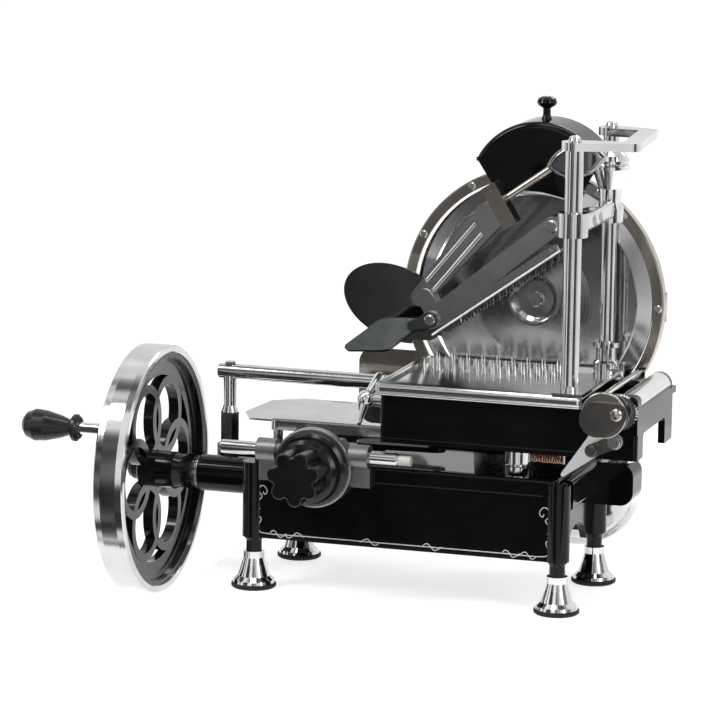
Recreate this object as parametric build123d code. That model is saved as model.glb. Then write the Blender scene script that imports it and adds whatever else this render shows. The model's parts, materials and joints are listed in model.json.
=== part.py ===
from build123d import *
import math
import os

# Hand cranked meat slicer with a flywheel. Millimetres. The origin is on the floor midway between the
# four feet, +X runs along the flywheel shaft away from the flywheel, +Y runs from the operator's side
# to the blade and +Z is up.

# ---- driving dimensions -----------------------------------------------------------------------------
FOOT_X, FOOT_Y = 160.0, 72.0          # foot centres from the origin
FOOT_D, FOOT_NECK_D, FOOT_TOP = 46.0, 21.0, 38.0
LEG_D, LEG_BOLT_D, LEG_BOLT_DEPTH = 16.0, 6.8, 16.0
PILLAR_D = 24.0
BASE_X, BASE_Y = 160.0, 80.0          # half length and half depth of the base box
BASE_BOTTOM, DECK_TOP, DECK_T, WALL_T = 53.0, 131.0, 6.0, 7.0
LIP_H = 5.0                           # raised bead round the deck

SHAFT_Z, SHAFT_D = 98.5, 16.0         # main shaft height and diameter
RUN_FIT = 0.05                        # radial running clearance of a shaft in its bush
GAP = 0.3                             # clearance between pieces that move past each other
SEAT = 0.05                           # radial clearance of pieces fixed on a common shaft
BUSH_T = 3.0

WHEEL_R, WHEEL_X, WHEEL_W = 130.0, -298.3, 32.6
RIM_T, WEB_RING_R, WEB_FLANGE_R, WEB_T = 8.0, 112.0, 98.0, 11.0
PETALS, PETAL_R, PETAL_W, PETAL_AT = 6, 42.0, 9.0, 59.0
HUB_D, HUB_LEFT, HUB_RIGHT = 38.0, -310.0, -262.5
COLLAR_D, TUBE_D, TUBE_LEFT = 36.0, 38.0, -243.0
GRIP_AT_R, GRIP_ANGLE = 116.5, 150.0  # crank grip on the wheel, angle from +Y
GRIP_PIN_D, GRIP_L, GRIP_D, GRIP_NECK_D, GRIP_START = 8.0, 62.0, 33.0, 15.0, -339.0

BEVEL_TEETH, BEVEL_R, BEVEL_FACE = 16, 20.0, 8.0
CRANK_X, CRANK_R, CRANK_SHAFT_D, CRANK_PIN_D = -60.0, 71.0, 12.0, 8.0
CRANK_ARM_T, ROD_T, ROD_L = 5.5, 5.5, 127.0
CRANK_ARM_Z = 139.5

BLADE_X, BLADE_D, BLADE_Y = 88.0, 250.0, 78.0
GEAR_M = 2.5
CROSS_TEETH, IDLER_TEETH, BLADE_TEETH = 48, 42, 20
GEAR_Y, GEAR_W = 101.0, 10.0
CASE_FRONT, CASE_BACK, CASE_T, CASE_CLEAR = 92.0, 120.0, 3.5, 1.6
RING_T, RING_Y, RING_W, RING_CLEAR = 11.0, 74.0, 12.0, 2.0
RING_OD = BLADE_D + 2 * (RING_T + RING_CLEAR)
RING_FROM, RING_SPAN = 40.0, 255.0    # the ring ends this far below level on the right, and its length

RAIL_Y, RAIL_Z, RAIL_D, RAIL_LEFT, RAIL_RIGHT = 62.0, 195.0, 16.0, -247.0, 204.0
POST_LEFT_X, POST_RIGHT_X = -235.0, 193.0
BAR_Y, BAR_BOTTOM, BAR_H, BAR_W, BAR_LEFT, BAR_RIGHT = -52.0, 161.5, 9.5, 12.0, -149.0, 125.0

KNOB_X, KNOB_Z, KNOB_LOBES, KNOB_R = -90.0, 133.5, 7, 27.0
DIAL_R, HOUSING_R = 37.5, 41.0
STOP_Y, STOP_Z, STOP_D, STOP_LEFT, STOP_RIGHT, STUB_D, STUB_L = -88.5, 147.2, 14.0, -190.0, -2.0, 10.0, 13.0
PINION_TEETH, PINION_M = 16, 1.0

SKIRT_Y, SKIRT_BOTTOM, SKIRT_TOP, SKIRT_T = -90.0, 164.0, 213.0, 7.0
CAR_LEFT, CAR_RIGHT = -22.0, 243.0
CAR_REAR = 53.0
SLEEVE_D, SLEEVE_LEFT, SLEEVE_RIGHT = 22.0, 40.0, 180.0

TABLE_X0, TABLE_X1, TABLE_Y0, TABLE_Y1 = -26.0, 188.0, -97.0, 71.0
TABLE_TOP = 225.0
FRONT_COL_X, FRONT_COL_Y, FRONT_COL_D = 168.0, -70.0, 18.0
REAR_COL_X, REAR_COL_Y, REAR_COL_D = 172.0, 57.0, 16.0
COL_TOP = 466.0
SPIKE_H, SPIKE_D = 11.5, 4.0

SCREW_X, SCREW_Z, SCREW_D = 226.0, 213.0, 12.0
TRIP_X, TRIP_Z, TRIP_T = 221.0, 183.0, 3.5



# ---- helpers ----------------------------------------------------------------------------------------
TURN = {"X": (0, 90, 0), "Y": (-90, 0, 0), "Z": (0, 0, 0)}
LOW = (Align.CENTER, Align.CENTER, Align.MIN)


def rod(axis, start, length, d, bore=0.0):
    """Cylinder, or tube, of diameter d from the point start along the axis."""
    solid = Cylinder(d / 2, length, align=LOW)
    if bore:
        solid -= Cylinder(bore / 2, length, align=LOW)
    return Pos(*start) * Rot(*TURN[axis]) * solid


def turned(axis, start, profile):
    """Solid of revolution: profile lists (radius, height along the axis from start)."""
    face = make_face(Plane.XZ * Polyline(*profile, close=True))
    return Pos(*start) * Rot(*TURN[axis]) * revolve(face, Axis.Z)


def block(x0, x1, y0, y1, z0, z1):
    return Pos((x0 + x1) / 2, (y0 + y1) / 2, (z0 + z1) / 2) * Box(abs(x1 - x0), abs(y1 - y0), abs(z1 - z0))


def upright(sketch, y0, y1):
    """A flat outline drawn in X and Z, as a plate from y0 to y1."""
    plane = Plane(origin=(0, y0, 0), x_dir=(1, 0, 0), z_dir=(0, -1, 0))
    return extrude(plane * sketch, amount=y0 - y1)


def flat(sketch, z0, z1):
    return extrude(Pos(0, 0, z0) * sketch, amount=z1 - z0)


def link(p0, r0, p1, r1):
    """Outline of two round ends joined by their outer tangents."""
    return make_hull([*(Pos(*p0) * Circle(r0)).edges(), *(Pos(*p1) * Circle(r1)).edges()])


def spread(solid, points):
    return Compound(children=[Pos(*p) * solid for p in points])


def write(name, shape):
    solids = shape.solids()
    whole = solids[0] if len(solids) == 1 else Compound(children=list(solids))
    export_step(whole, f"parts/{name}.step")


# ---- gears ------------------------------------------------------------------------------------------
def tooth_outline(teeth, module, tip, root, slack, phase):
    """Closed outline of a spur gear with involute flanks of 20 degrees drawn through three points."""
    pitch_r = teeth * module / 2
    base_r = pitch_r * math.cos(math.radians(20))

    def involute(r):
        a = math.acos(min(1.0, base_r / r))
        return math.tan(a) - a

    def half(r):
        return math.pi / (2 * teeth) - slack / (2 * pitch_r) + involute(pitch_r) - involute(max(r, base_r))

    points = []
    for i in range(teeth):
        mid = math.radians(phase) + 2 * math.pi * i / teeth
        radii = (pitch_r - root, pitch_r, pitch_r + tip)
        flank = [(r, -half(r)) for r in radii] + [(r, half(r)) for r in reversed(radii)]
        points += [(r * math.cos(mid + a), r * math.sin(mid + a)) for r, a in flank]
    return Polyline(*points, close=True)


def spur(teeth, module, phase, width, bore, slack=0.35):
    """Spur gear on the Z axis from z = 0, a tooth centred at the angle phase."""
    face = make_face(tooth_outline(teeth, module, 0.85 * module, 1.15 * module, slack, phase))
    return extrude(face, amount=width) - Cylinder(bore / 2, width, align=LOW)


def bevel(phase, bore):
    """Mitre gear on the Z axis, its cone's apex at z = 0 and its teeth below, a tooth centred at phase."""
    module = 2 * BEVEL_R / BEVEL_TEETH
    outline = tooth_outline(BEVEL_TEETH, module, 0.6 * module, 0.85 * module, 0.5, phase)
    big = make_face(outline)
    share = 1 - BEVEL_FACE / BEVEL_R
    small = scale(big, share)
    teeth = loft([Pos(0, 0, -BEVEL_R) * big, Pos(0, 0, -BEVEL_R * share) * small], ruled=True)
    boss = rod("Z", (0, 0, -BEVEL_R - 6), 6, 2 * (BEVEL_R - module) * 0.8)
    return teeth + boss - Cylinder(bore / 2, 4 * BEVEL_R)


# ---- base -------------------------------------------------------------------------------------------
FEET = [(sx * FOOT_X, sy * FOOT_Y) for sx in (-1, 1) for sy in (-1, 1)]
CROSS_BOSS_D = 36.0
CRANK_BOSS_D = 32.0
ARM_TOP, ARM_BOTTOM = 118.0, 98.0     # casting arm that carries the left rail post
SHOULDER_Y1 = 86.0                    # rear shoulder under the right rail post
PINION_R = PINION_TEETH * PINION_M / 2
EAR_D = STOP_D + 10.0
HOUSING_DEPTH = 18.0


def base_casting():
    """Open-bottomed enamelled casting: deck, walls, four leg pillars, rail arm and shaft bearings."""
    box = flat(RectangleRounded(2 * BASE_X, 2 * BASE_Y, 10), BASE_BOTTOM, DECK_TOP)
    lip = flat(RectangleRounded(2 * BASE_X, 2 * BASE_Y, 10), DECK_TOP, DECK_TOP + LIP_H)
    lip -= flat(RectangleRounded(2 * BASE_X - 16, 2 * BASE_Y - 16, 6), DECK_TOP, DECK_TOP + LIP_H)
    lip = fillet(lip.faces().sort_by(Axis.Z)[-1].outer_wire().edges(), 3)
    inside = flat(RectangleRounded(2 * (BASE_X - WALL_T), 2 * (BASE_Y - WALL_T), 6),
                  BASE_BOTTOM, DECK_TOP - DECK_T)
    ledge = block(BASE_X, BASE_X + 9, -0.62 * BASE_Y, 0.75 * BASE_Y, 100, DECK_TOP)
    ledge = fillet(ledge.edges().filter_by(Axis.Y).group_by(Axis.X)[-1], 5)
    body = box + lip + ledge
    for x, y in FEET:
        body += rod("Z", (x, y, BASE_BOTTOM), DECK_TOP - BASE_BOTTOM, PILLAR_D)
    body -= inside
    for x, y in FEET:
        pillar = rod("Z", (x, y, BASE_BOTTOM), DECK_TOP - BASE_BOTTOM, PILLAR_D)
        leg = turned("Z", (x, y, FOOT_TOP), [(0, 0), (LEG_D / 2, 0), (LEG_D / 2, 11), (PILLAR_D / 2, 17), (0, 17)])
        body += pillar + leg
    # the side panel is arched at its foot
    arch = Pos(0, 0, BASE_BOTTOM - 22) * rod("X", (BASE_X - 2 * WALL_T, 0, 0), 4 * WALL_T, 92)
    body -= arch
    # rear left arm for the rail, rear right shoulder for its other post
    arm_end = (POST_LEFT_X, RAIL_Y)
    arm = flat(link(arm_end, 13, (-BASE_X - 5, RAIL_Y - 4), 20), ARM_BOTTOM, ARM_TOP - 3)
    arm += rod("Z", (*arm_end, ARM_BOTTOM), ARM_TOP - ARM_BOTTOM, 26)
    shoulder = upright(Pos((POST_RIGHT_X + 130) / 2, DECK_TOP - 22) * RectangleRounded(
        POST_RIGHT_X - 130 + 24, 44, 14), BASE_Y - 30, SHOULDER_Y1)
    body += arm + (shoulder - inside)
    for x in (-130.0, 0.0):
        bar = block(x - 8, x + 8, BASE_Y - 4, 205, TRAY_Z - 9, TRAY_Z)
        body += fillet(bar.edges().filter_by(Axis.Z).group_by(Axis.Y)[-1], 6)
    # cross wall, shaft tube socket and bearing bosses
    wall_x = -24.0
    body += block(wall_x, wall_x + 8, -BASE_Y + WALL_T, BASE_Y - WALL_T, SHAFT_Z - 24, DECK_TOP - 3)
    body += rod("X", (-BASE_X - 6, 0, SHAFT_Z), 14, TUBE_D + 8)
    body += rod("X", (wall_x - 6, 0, SHAFT_Z), 20, SHAFT_D + 16)
    body += rod("Z", (CRANK_X, 0, DECK_TOP - DECK_T), DECK_T + LIP_H + 2, CRANK_BOSS_D)
    body += rod("Y", (BLADE_X, BASE_Y - 30, SHAFT_Z), SHOULDER_Y1 - BASE_Y + 30, CROSS_BOSS_D)
    body -= rod("X", (-BASE_X - 7, 0, SHAFT_Z), 2 * BASE_X * 0.6, bush_d(SHAFT_D) + 2 * SEAT)
    body -= rod("Z", (CRANK_X, 0, DECK_TOP - 8), 30, bush_d(CRANK_SHAFT_D) + 2 * SEAT)
    body -= rod("Y", (BLADE_X, BASE_Y - 31, SHAFT_Z), 80, bush_d(SHAFT_D) + 2 * SEAT)
    return body


def bush_d(shaft_d):
    return shaft_d + 2 * RUN_FIT + 2 * BUSH_T


def bush(axis, start, length, shaft_d):
    solid = rod(axis, start, length, bush_d(shaft_d))
    return solid - rod(axis, start, length, shaft_d + 2 * RUN_FIT)


def foot_bells():
    bell = turned("Z", (0, 0, 5.2), [
        (0, 0), (FOOT_D / 2 - 1.5, 0), (FOOT_D / 2 - 2.5, 3), (FOOT_D / 2 - 6.5, 7), (FOOT_NECK_D / 2 + 2, 19),
        (FOOT_NECK_D / 2, 26), (FOOT_NECK_D / 2, FOOT_TOP - 5.2), (0, FOOT_TOP - 5.2)])
    bell -= rod("Z", (0, 0, 5.2), LEG_BOLT_DEPTH - 5.2, LEG_BOLT_D)
    return spread(bell, [(x, y, 0) for x, y in FEET])


def foot_rubbers():
    pad = turned("Z", (0, 0, 0), [(0, 0), (FOOT_D / 2 - 2, 0), (FOOT_D / 2, 1.5), (FOOT_D / 2, 4), (FOOT_D / 2 - 1, 5.2), (0, 5.2)])
    pad -= rod("Z", (0, 0, 0), 5.2, LEG_BOLT_D)
    return spread(pad, [(x, y, 0) for x, y in FEET])


def shaft_tube():
    right = -BASE_X - 6
    tube = rod("X", (TUBE_LEFT, 0, SHAFT_Z), right - TUBE_LEFT, TUBE_D)
    tube += rod("X", (right - 5, 0, SHAFT_Z), 5, TUBE_D + 8)
    return tube - rod("X", (TUBE_LEFT, 0, SHAFT_Z), right - TUBE_LEFT, bush_d(SHAFT_D) + 2 * SEAT)


def shaft_bushes():
    left = bush("X", (TUBE_LEFT, 0, SHAFT_Z), 40, SHAFT_D)
    inner = bush("X", (-30, 0, SHAFT_Z), 20, SHAFT_D)
    cross = bush("Y", (BLADE_X, BASE_Y - 30, SHAFT_Z), SHOULDER_Y1 - BASE_Y + 30, SHAFT_D)
    crank = bush("Z", (CRANK_X, 0, DECK_TOP - DECK_T), DECK_T + LIP_H + 2, CRANK_SHAFT_D)
    arbor = bush("Y", (BLADE_X, CASE_FRONT, BLADE_Z), GEAR_Y - CASE_FRONT - 1, ARBOR_D)
    return Compound(children=[left, inner, cross, crank, arbor])


def rear_rail():
    bar = rod("X", (RAIL_LEFT, RAIL_Y, RAIL_Z), RAIL_RIGHT - RAIL_LEFT, RAIL_D)
    bar = chamfer(bar.edges().filter_by(GeomType.CIRCLE), 1.2)
    for x in (POST_LEFT_X, POST_RIGHT_X):
        bar -= rod("Z", (x, RAIL_Y, RAIL_Z - RAIL_D), 2 * RAIL_D, 6 + 2 * SEAT)
        bar -= rod("Z", (x, RAIL_Y, RAIL_Z + RAIL_D / 2 - 1), 3, 13)
    return bar


def rail_post(x, foot_z):
    """Turned post with a hexagonal lower half and a saddle for the rail."""
    top = RAIL_Z
    hexed = flat(RegularPolygon(10, 6), foot_z, foot_z + 34)
    neck = turned("Z", (0, 0, foot_z + 34), [(0, 0), (9, 0), (6.7, 7), (6.7, 20), (7.2, top - foot_z - 34), (0, top - foot_z - 34)])
    post = Pos(x, RAIL_Y, 0) * (hexed + neck)
    return post - rod("X", (x - 20, RAIL_Y, RAIL_Z), 40, RAIL_D)


def rail_bolts():
    """Bolts down through the rail into its posts."""
    bolt = rod("Z", (0, 0, -0.45 * RAIL_D), 0.95 * RAIL_D, 6) + flat(RegularPolygon(6, 6), RAIL_D / 2 - 1, RAIL_D / 2 + 2.5)
    return spread(bolt, [(x, RAIL_Y, RAIL_Z) for x in (POST_LEFT_X, POST_RIGHT_X)])


def front_bar():
    length = BAR_RIGHT - BAR_LEFT
    outline = Pos(BAR_LEFT + length / 2, BAR_Y) * SlotOverall(length, BAR_W)
    return flat(outline, BAR_BOTTOM, BAR_BOTTOM + BAR_H)


BAR_POSTS = (BAR_LEFT + 7, 111.0)


def front_bar_posts():
    foot = DECK_TOP + LIP_H
    left = turned("Z", (BAR_POSTS[0], BAR_Y, foot - LIP_H), [
        (0, 0), (8, 0), (8, 16), (5, 20), (5, 29), (7, 31), (7, BAR_BOTTOM - foot + LIP_H), (0, BAR_BOTTOM - foot + LIP_H)])
    right = turned("Z", (BAR_POSTS[1], BAR_Y, foot - LIP_H), [
        (0, 0), (12, 0), (12, 12), (10.5, 13.5), (12, 15), (12, 28), (8, 30), (8, BAR_BOTTOM - foot + LIP_H),
        (0, BAR_BOTTOM - foot + LIP_H)])
    return [left, right]


def rail_posts():
    """Posts of the round rail and of the flat bar."""
    posts = [rail_post(POST_LEFT_X, ARM_TOP), rail_post(POST_RIGHT_X, DECK_TOP), *front_bar_posts()]
    return Compound(children=posts)


def frame_screws():
    return Compound(children=[*rail_bolts().solids(), *ring_screws().solids()])


# ---- thickness control ------------------------------------------------------------------------------
def knob_housing():
    """Round housing on the front panel with two ears that guide the stop rod."""
    front = -BASE_Y - HOUSING_DEPTH
    body = rod("Y", (KNOB_X, front, KNOB_Z), HOUSING_DEPTH, 2 * HOUSING_R)
    body = fillet(body.edges().filter_by(GeomType.CIRCLE).group_by(Axis.Y)[0], 2)
    ears = []
    for x in (-150.0, -52.0):
        ear = rod("X", (x, STOP_Y, STOP_Z), 20, EAR_D)
        ear += block(x, x + 20, STOP_Y, -BASE_Y, STOP_Z - 32, STOP_Z)
        ears.append(ear)
    body += ears[0] + ears[1]
    body -= block(KNOB_X - 80, KNOB_X + 80, -BASE_Y, -BASE_Y + 40, 60, 180)
    body -= block(KNOB_X - 80, KNOB_X + 80, SKIRT_Y - 1, -BASE_Y, SKIRT_BOTTOM - 1, 200)
    body -= rod("X", (STOP_LEFT - 5, STOP_Y, STOP_Z), 260, STOP_D + 2 * GAP)
    body -= block(KNOB_X - PINION_R - 3, KNOB_X + PINION_R + 3, STOP_Y - 6, -BASE_Y, KNOB_Z - PINION_R - 3, STOP_Z)
    return body - rod("Y", (KNOB_X, front - 1, KNOB_Z), HOUSING_DEPTH + 2, 8 + 2 * RUN_FIT)


def pinion():
    """Pinion and spindle behind the dial, in mesh with the rack under the stop rod."""
    front = -BASE_Y - HOUSING_DEPTH
    gear = Pos(KNOB_X, STOP_Y - 4.5, KNOB_Z) * Rot(*TURN["Y"]) * spur(PINION_TEETH, PINION_M, 90, 9, 4, 0.25)
    return gear + rod("Y", (KNOB_X, front - 40, KNOB_Z), HOUSING_DEPTH + 39, 8)


def thickness_knob():
    """Lobed grip on a stepped collar and a broad dial."""
    back = -BASE_Y - HOUSING_DEPTH - 12
    dial = turned("Y", (KNOB_X, back, KNOB_Z), [(0, 0), (DIAL_R - 3, 0), (DIAL_R, 3), (DIAL_R, 12 - GAP), (0, 12 - GAP)])
    lobe_r = 8.0
    ring = [Pos((KNOB_R - lobe_r + 1) * math.cos(a), (KNOB_R - lobe_r + 1) * math.sin(a)) * Circle(lobe_r)
            for a in (2 * math.pi * i / KNOB_LOBES + 0.3 for i in range(KNOB_LOBES))]
    outline = Circle(KNOB_R - 5.5)
    for lobe in ring:
        outline += lobe
    grip = Pos(0, 0, 14) * extrude(outline, amount=34)
    grip = fillet(grip.faces().sort_by(Axis.Z)[-1].outer_wire().edges(), 1.8)
    collar = turned("Z", (0, 0, 0), [(0, 0), (32.5, 0), (32.5, 9), (29, 12), (24, 14), (0, 14)])
    knob = dial + Pos(KNOB_X, back, KNOB_Z) * Rot(90, 0, 0) * (collar + grip)
    return knob - rod("Y", (KNOB_X, back - 28, KNOB_Z), 60, 8 + 2 * SEAT)


def stop_rod():
    """Round rod with a rack cut in its underside."""
    bar = rod("X", (STOP_LEFT, STOP_Y, STOP_Z), STOP_RIGHT - STOP_LEFT, STOP_D)
    bar = chamfer(bar.edges().filter_by(GeomType.CIRCLE), 1)
    pitch_z = KNOB_Z + PINION_R
    module, flank = PINION_M, math.tan(math.radians(20))
    pitch = math.pi * module
    bottom = pitch_z - 0.85 * module
    count = 14
    x0 = KNOB_X - 11 * pitch
    bar -= block(x0 - pitch, x0 + count * pitch, STOP_Y - 8, STOP_Y + 8, STOP_Z - STOP_D, bottom)
    for i in range(count):
        x = x0 + i * pitch
        top = pitch_z + 1.15 * module
        half_low = pitch / 4 + 0.12 + (pitch_z - bottom) * flank
        half_top = pitch / 4 + 0.12 - (top - pitch_z) * flank
        gap = Polyline((x - half_low, bottom - 1), (x - half_low, bottom), (x - half_top, top), (x + half_top, top),
                       (x + half_low, bottom), (x + half_low, bottom - 1), close=True)
        bar -= upright(make_face(gap), STOP_Y - 8, STOP_Y + 8)
    return bar


def stop_stub():
    return rod("X", (STOP_RIGHT, STOP_Y, STOP_Z - 1), STUB_L, STUB_D)


# ---- flywheel ---------------------------------------------------------------------------------------
WHEEL_L = WHEEL_X - WHEEL_W / 2
GRIP_Y = GRIP_AT_R * math.cos(math.radians(GRIP_ANGLE))
GRIP_Z = SHAFT_Z + GRIP_AT_R * math.sin(math.radians(GRIP_ANGLE))


def flywheel_rim():
    inner = WHEEL_R - RIM_T
    return turned("X", (WHEEL_L, 0, SHAFT_Z), [
        (inner, 1), (inner + 1, 0), (WHEEL_R - 2, 0), (WHEEL_R - 0.5, 1.5), (WHEEL_R, 8), (WHEEL_R, WHEEL_W - 8),
        (WHEEL_R - 0.5, WHEEL_W - 1.5), (WHEEL_R - 2, WHEEL_W), (inner + 1, WHEEL_W), (inner, WHEEL_W - 1)])


def flywheel_web():
    """Cast inner ring with a flower of overlapping half round petals about the hub."""
    outer = WHEEL_R - RIM_T - SEAT
    mid = WHEEL_X - WEB_T / 2
    ring = turned("X", (WHEEL_L + 2, 0, SHAFT_Z), [
        (WEB_RING_R + 3, 0), (outer, 0), (outer, WHEEL_W - 5), (WEB_RING_R + 5, WHEEL_W - 5),
        (WEB_RING_R + 4, WHEEL_W - 11), (WEB_RING_R, WHEEL_W / 2 + 4), (WEB_FLANGE_R, WHEEL_W / 2 + 3),
        (WEB_FLANGE_R, WHEEL_W / 2 - 6), (WEB_RING_R, WHEEL_W / 2 - 7)])
    flower = Circle(HUB_D / 2)
    for i in range(PETALS):
        petal = Circle(PETAL_R) - Circle(PETAL_R - PETAL_W)
        flower += Rot(0, 0, 360 / PETALS * (i + 0.5)) * Pos(PETAL_AT, 0) * petal
    web = Pos(mid, 0, SHAFT_Z) * Rot(*TURN["X"]) * extrude(flower, amount=WEB_T)
    hub = turned("X", (HUB_LEFT, 0, SHAFT_Z), [
        (0, 0), (HUB_D / 2 - 2, 0), (HUB_D / 2, 2), (HUB_D / 2, HUB_RIGHT - HUB_LEFT - 8),
        (HUB_D / 2 - 2.5, HUB_RIGHT - HUB_LEFT), (0, HUB_RIGHT - HUB_LEFT)])
    boss = rod("X", (WHEEL_L + 2, GRIP_Y, GRIP_Z), WHEEL_W - 10, 20)
    boss &= rod("X", (WHEEL_L, 0, SHAFT_Z), WHEEL_W, 2 * outer)
    web = ring + web + hub + boss
    nut = turned("X", (HUB_LEFT - 16, 0, SHAFT_Z), [(0, 0), (5, 1), (10, 4.5), (12.5, 9), (13, 14), (11, 16), (0, 16)])
    web -= rod("X", (HUB_LEFT, 0, SHAFT_Z), 60, SHAFT_D + 2 * SEAT)
    web += nut
    return web - rod("X", (WHEEL_L, GRIP_Y, GRIP_Z), WHEEL_W, GRIP_PIN_D + 2 * SEAT)


def main_shaft():
    """Main shaft with the mitre gears of the crank and of the blade drive cut on it."""
    shaft = rod("X", (HUB_LEFT, 0, SHAFT_Z), BLADE_X - BEVEL_R + 2 - HUB_LEFT, SHAFT_D)
    for apex_x in (CRANK_X, BLADE_X):
        shaft += Pos(apex_x, 0, SHAFT_Z) * Rot(0, 90, 0) * bevel(0, 4)
    return shaft


def wheel_fittings():
    """Collar beside the hub on the shaft, and the pin that the grip turns on."""
    collar = rod("X", (HUB_RIGHT + SEAT, 0, SHAFT_Z), TUBE_LEFT - GAP - HUB_RIGHT - SEAT, COLLAR_D, SHAFT_D + 2 * SEAT)
    left = GRIP_START - GRIP_L
    pin = rod("X", (left + 6, GRIP_Y, GRIP_Z), WHEEL_L + 14 - left, GRIP_PIN_D)
    pin += rod("X", (GRIP_START + GAP, GRIP_Y, GRIP_Z), WHEEL_L - GRIP_START - 2 * GAP, 13)
    return Compound(children=[collar, pin])


def crank_grip():
    """Turned wooden grip, a flanged collar at the wheel end."""
    return turned("X", (GRIP_START - GRIP_L, GRIP_Y, GRIP_Z), [
        (0, 0), (8, 1), (13, 5), (GRIP_D / 2, 14), (GRIP_D / 2 - 1, 26), (11.5, 42), (GRIP_NECK_D / 2 + 1, 50),
        (GRIP_NECK_D / 2 + 0.5, 53), (12, 54), (14, 56), (14, 59), (11, GRIP_L), (0, GRIP_L)]
    ) - rod("X", (GRIP_START - GRIP_L + 6, GRIP_Y, GRIP_Z), GRIP_L, GRIP_PIN_D + 2 * RUN_FIT)


# ---- crank under the carriage -----------------------------------------------------------------------
def crank():
    """Upright crankshaft: mitre gear below the deck, arm with the eye of the drive pin above it."""
    bottom = SHAFT_Z + BEVEL_R * 0.62
    gear = Pos(CRANK_X, 0, SHAFT_Z) * Rot(180, 0, 0) * bevel(180 / BEVEL_TEETH, 4)
    gear += rod("Z", (CRANK_X, 0, bottom), CRANK_ARM_Z - bottom, CRANK_SHAFT_D)
    arm = flat(link((CRANK_X, 0), 14, (CRANK_X + CRANK_R, 0), 9), CRANK_ARM_Z, CRANK_ARM_Z + CRANK_ARM_T)
    return gear + arm - rod("Z", (CRANK_X + CRANK_R, 0, CRANK_ARM_Z - 1), 9, CRANK_PIN_D + 2 * RUN_FIT)


ROD_Z = CRANK_ARM_Z + CRANK_ARM_T + GAP
CAR_PIN_X = CRANK_X + CRANK_R + ROD_L


def connecting_rod():
    start, end = (CRANK_X + CRANK_R, 0), (CAR_PIN_X, 0)
    bar = flat(link(start, 8.7, end, 11), ROD_Z, ROD_Z + ROD_T)
    bar -= flat(link((start[0] + 18, 0), 2.5, (end[0] - 22, 0), 4), ROD_Z + 3.5, ROD_Z + ROD_T)
    bar -= rod("Z", (*start, ROD_Z), ROD_T, CRANK_PIN_D + 2 * RUN_FIT)
    return bar - rod("Z", (*end, ROD_Z), ROD_T, CRANK_PIN_D + 2 * RUN_FIT)


def drive_pin():
    """Lift-out pin in the eye of the rod, raised clear of the crank as the machine stands."""
    at = (CRANK_X + CRANK_R, 0, ROD_Z)
    head = turned("Z", at, [(0, 11), (5.5, 11), (6.5, 12), (6.5, 14.5), (5.5, 15.5), (0, 15.5)])
    return rod("Z", at, 12, CRANK_PIN_D) + head


def carriage_pin():
    """Post under the carriage that the connecting rod pulls on."""
    post = rod("Z", (CAR_PIN_X, 0, ROD_Z + ROD_T + GAP), CROSS_WEB_Z - ROD_Z - ROD_T - GAP, 22)
    return post + rod("Z", (CAR_PIN_X, 0, ROD_Z), CROSS_WEB_Z - ROD_Z, CRANK_PIN_D)


# ---- blade drive ------------------------------------------------------------------------------------
IDLER_Z = SHAFT_Z + (CROSS_TEETH + IDLER_TEETH) * GEAR_M / 2
BLADE_Z = IDLER_Z + (IDLER_TEETH + BLADE_TEETH) * GEAR_M / 2
ARBOR_D, IDLER_PIN_D = 16.0, 12.0


def gear_r(teeth):
    return teeth * GEAR_M / 2


def placed_gear(teeth, z, tooth_up, bore):
    phase = 90 if tooth_up else 90 + 180 / teeth
    return Pos(BLADE_X, GEAR_Y, z) * Rot(*TURN["Y"]) * spur(teeth, GEAR_M, -phase, GEAR_W, bore)


def cross_shaft():
    gear = Pos(BLADE_X, 0, SHAFT_Z) * Rot(90, 0, 0) * bevel(180 / BEVEL_TEETH, SHAFT_D - 4)
    start = BEVEL_R + 4
    return gear + rod("Y", (BLADE_X, start - 10, SHAFT_Z), GEAR_Y + GEAR_W + 4 - start + 10, SHAFT_D)


def cross_gear():
    return placed_gear(CROSS_TEETH, SHAFT_Z, True, SHAFT_D + 2 * SEAT)


def idler_gear():
    return placed_gear(IDLER_TEETH, IDLER_Z, False, IDLER_PIN_D + 2 * RUN_FIT)


def blade_arbor():
    """Gear and arbor behind the blade, with the slotted screw that clamps the blade on it."""
    gear = placed_gear(BLADE_TEETH, BLADE_Z, True, 4)
    shank = rod("Y", (BLADE_X, BLADE_Y + 8, BLADE_Z), 8, 8)
    head = turned("Y", (BLADE_X, BLADE_Y + 6.5, BLADE_Z), [(0, 0), (7, 0), (8.5, 1.5), (8.5, 3.5), (0, 3.5)])
    head -= block(BLADE_X - 9, BLADE_X + 9, BLADE_Y + 6, BLADE_Y + 7.6, BLADE_Z - 0.8, BLADE_Z + 0.8)
    return gear + rod("Y", (BLADE_X, BLADE_Y + 13, BLADE_Z), GEAR_Y + GEAR_W - BLADE_Y - 11, ARBOR_D) + shank + head


def case_outline(extra):
    """Round-ended outline about the three gears, grown by extra."""
    r1, r2, r3 = (gear_r(t) + GEAR_M + extra for t in (CROSS_TEETH, IDLER_TEETH, BLADE_TEETH))
    low = link((BLADE_X, SHAFT_Z), r1, (BLADE_X, IDLER_Z), r2)
    return low + link((BLADE_X, IDLER_Z), r2, (BLADE_X, BLADE_Z), r3 + 4)


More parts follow.
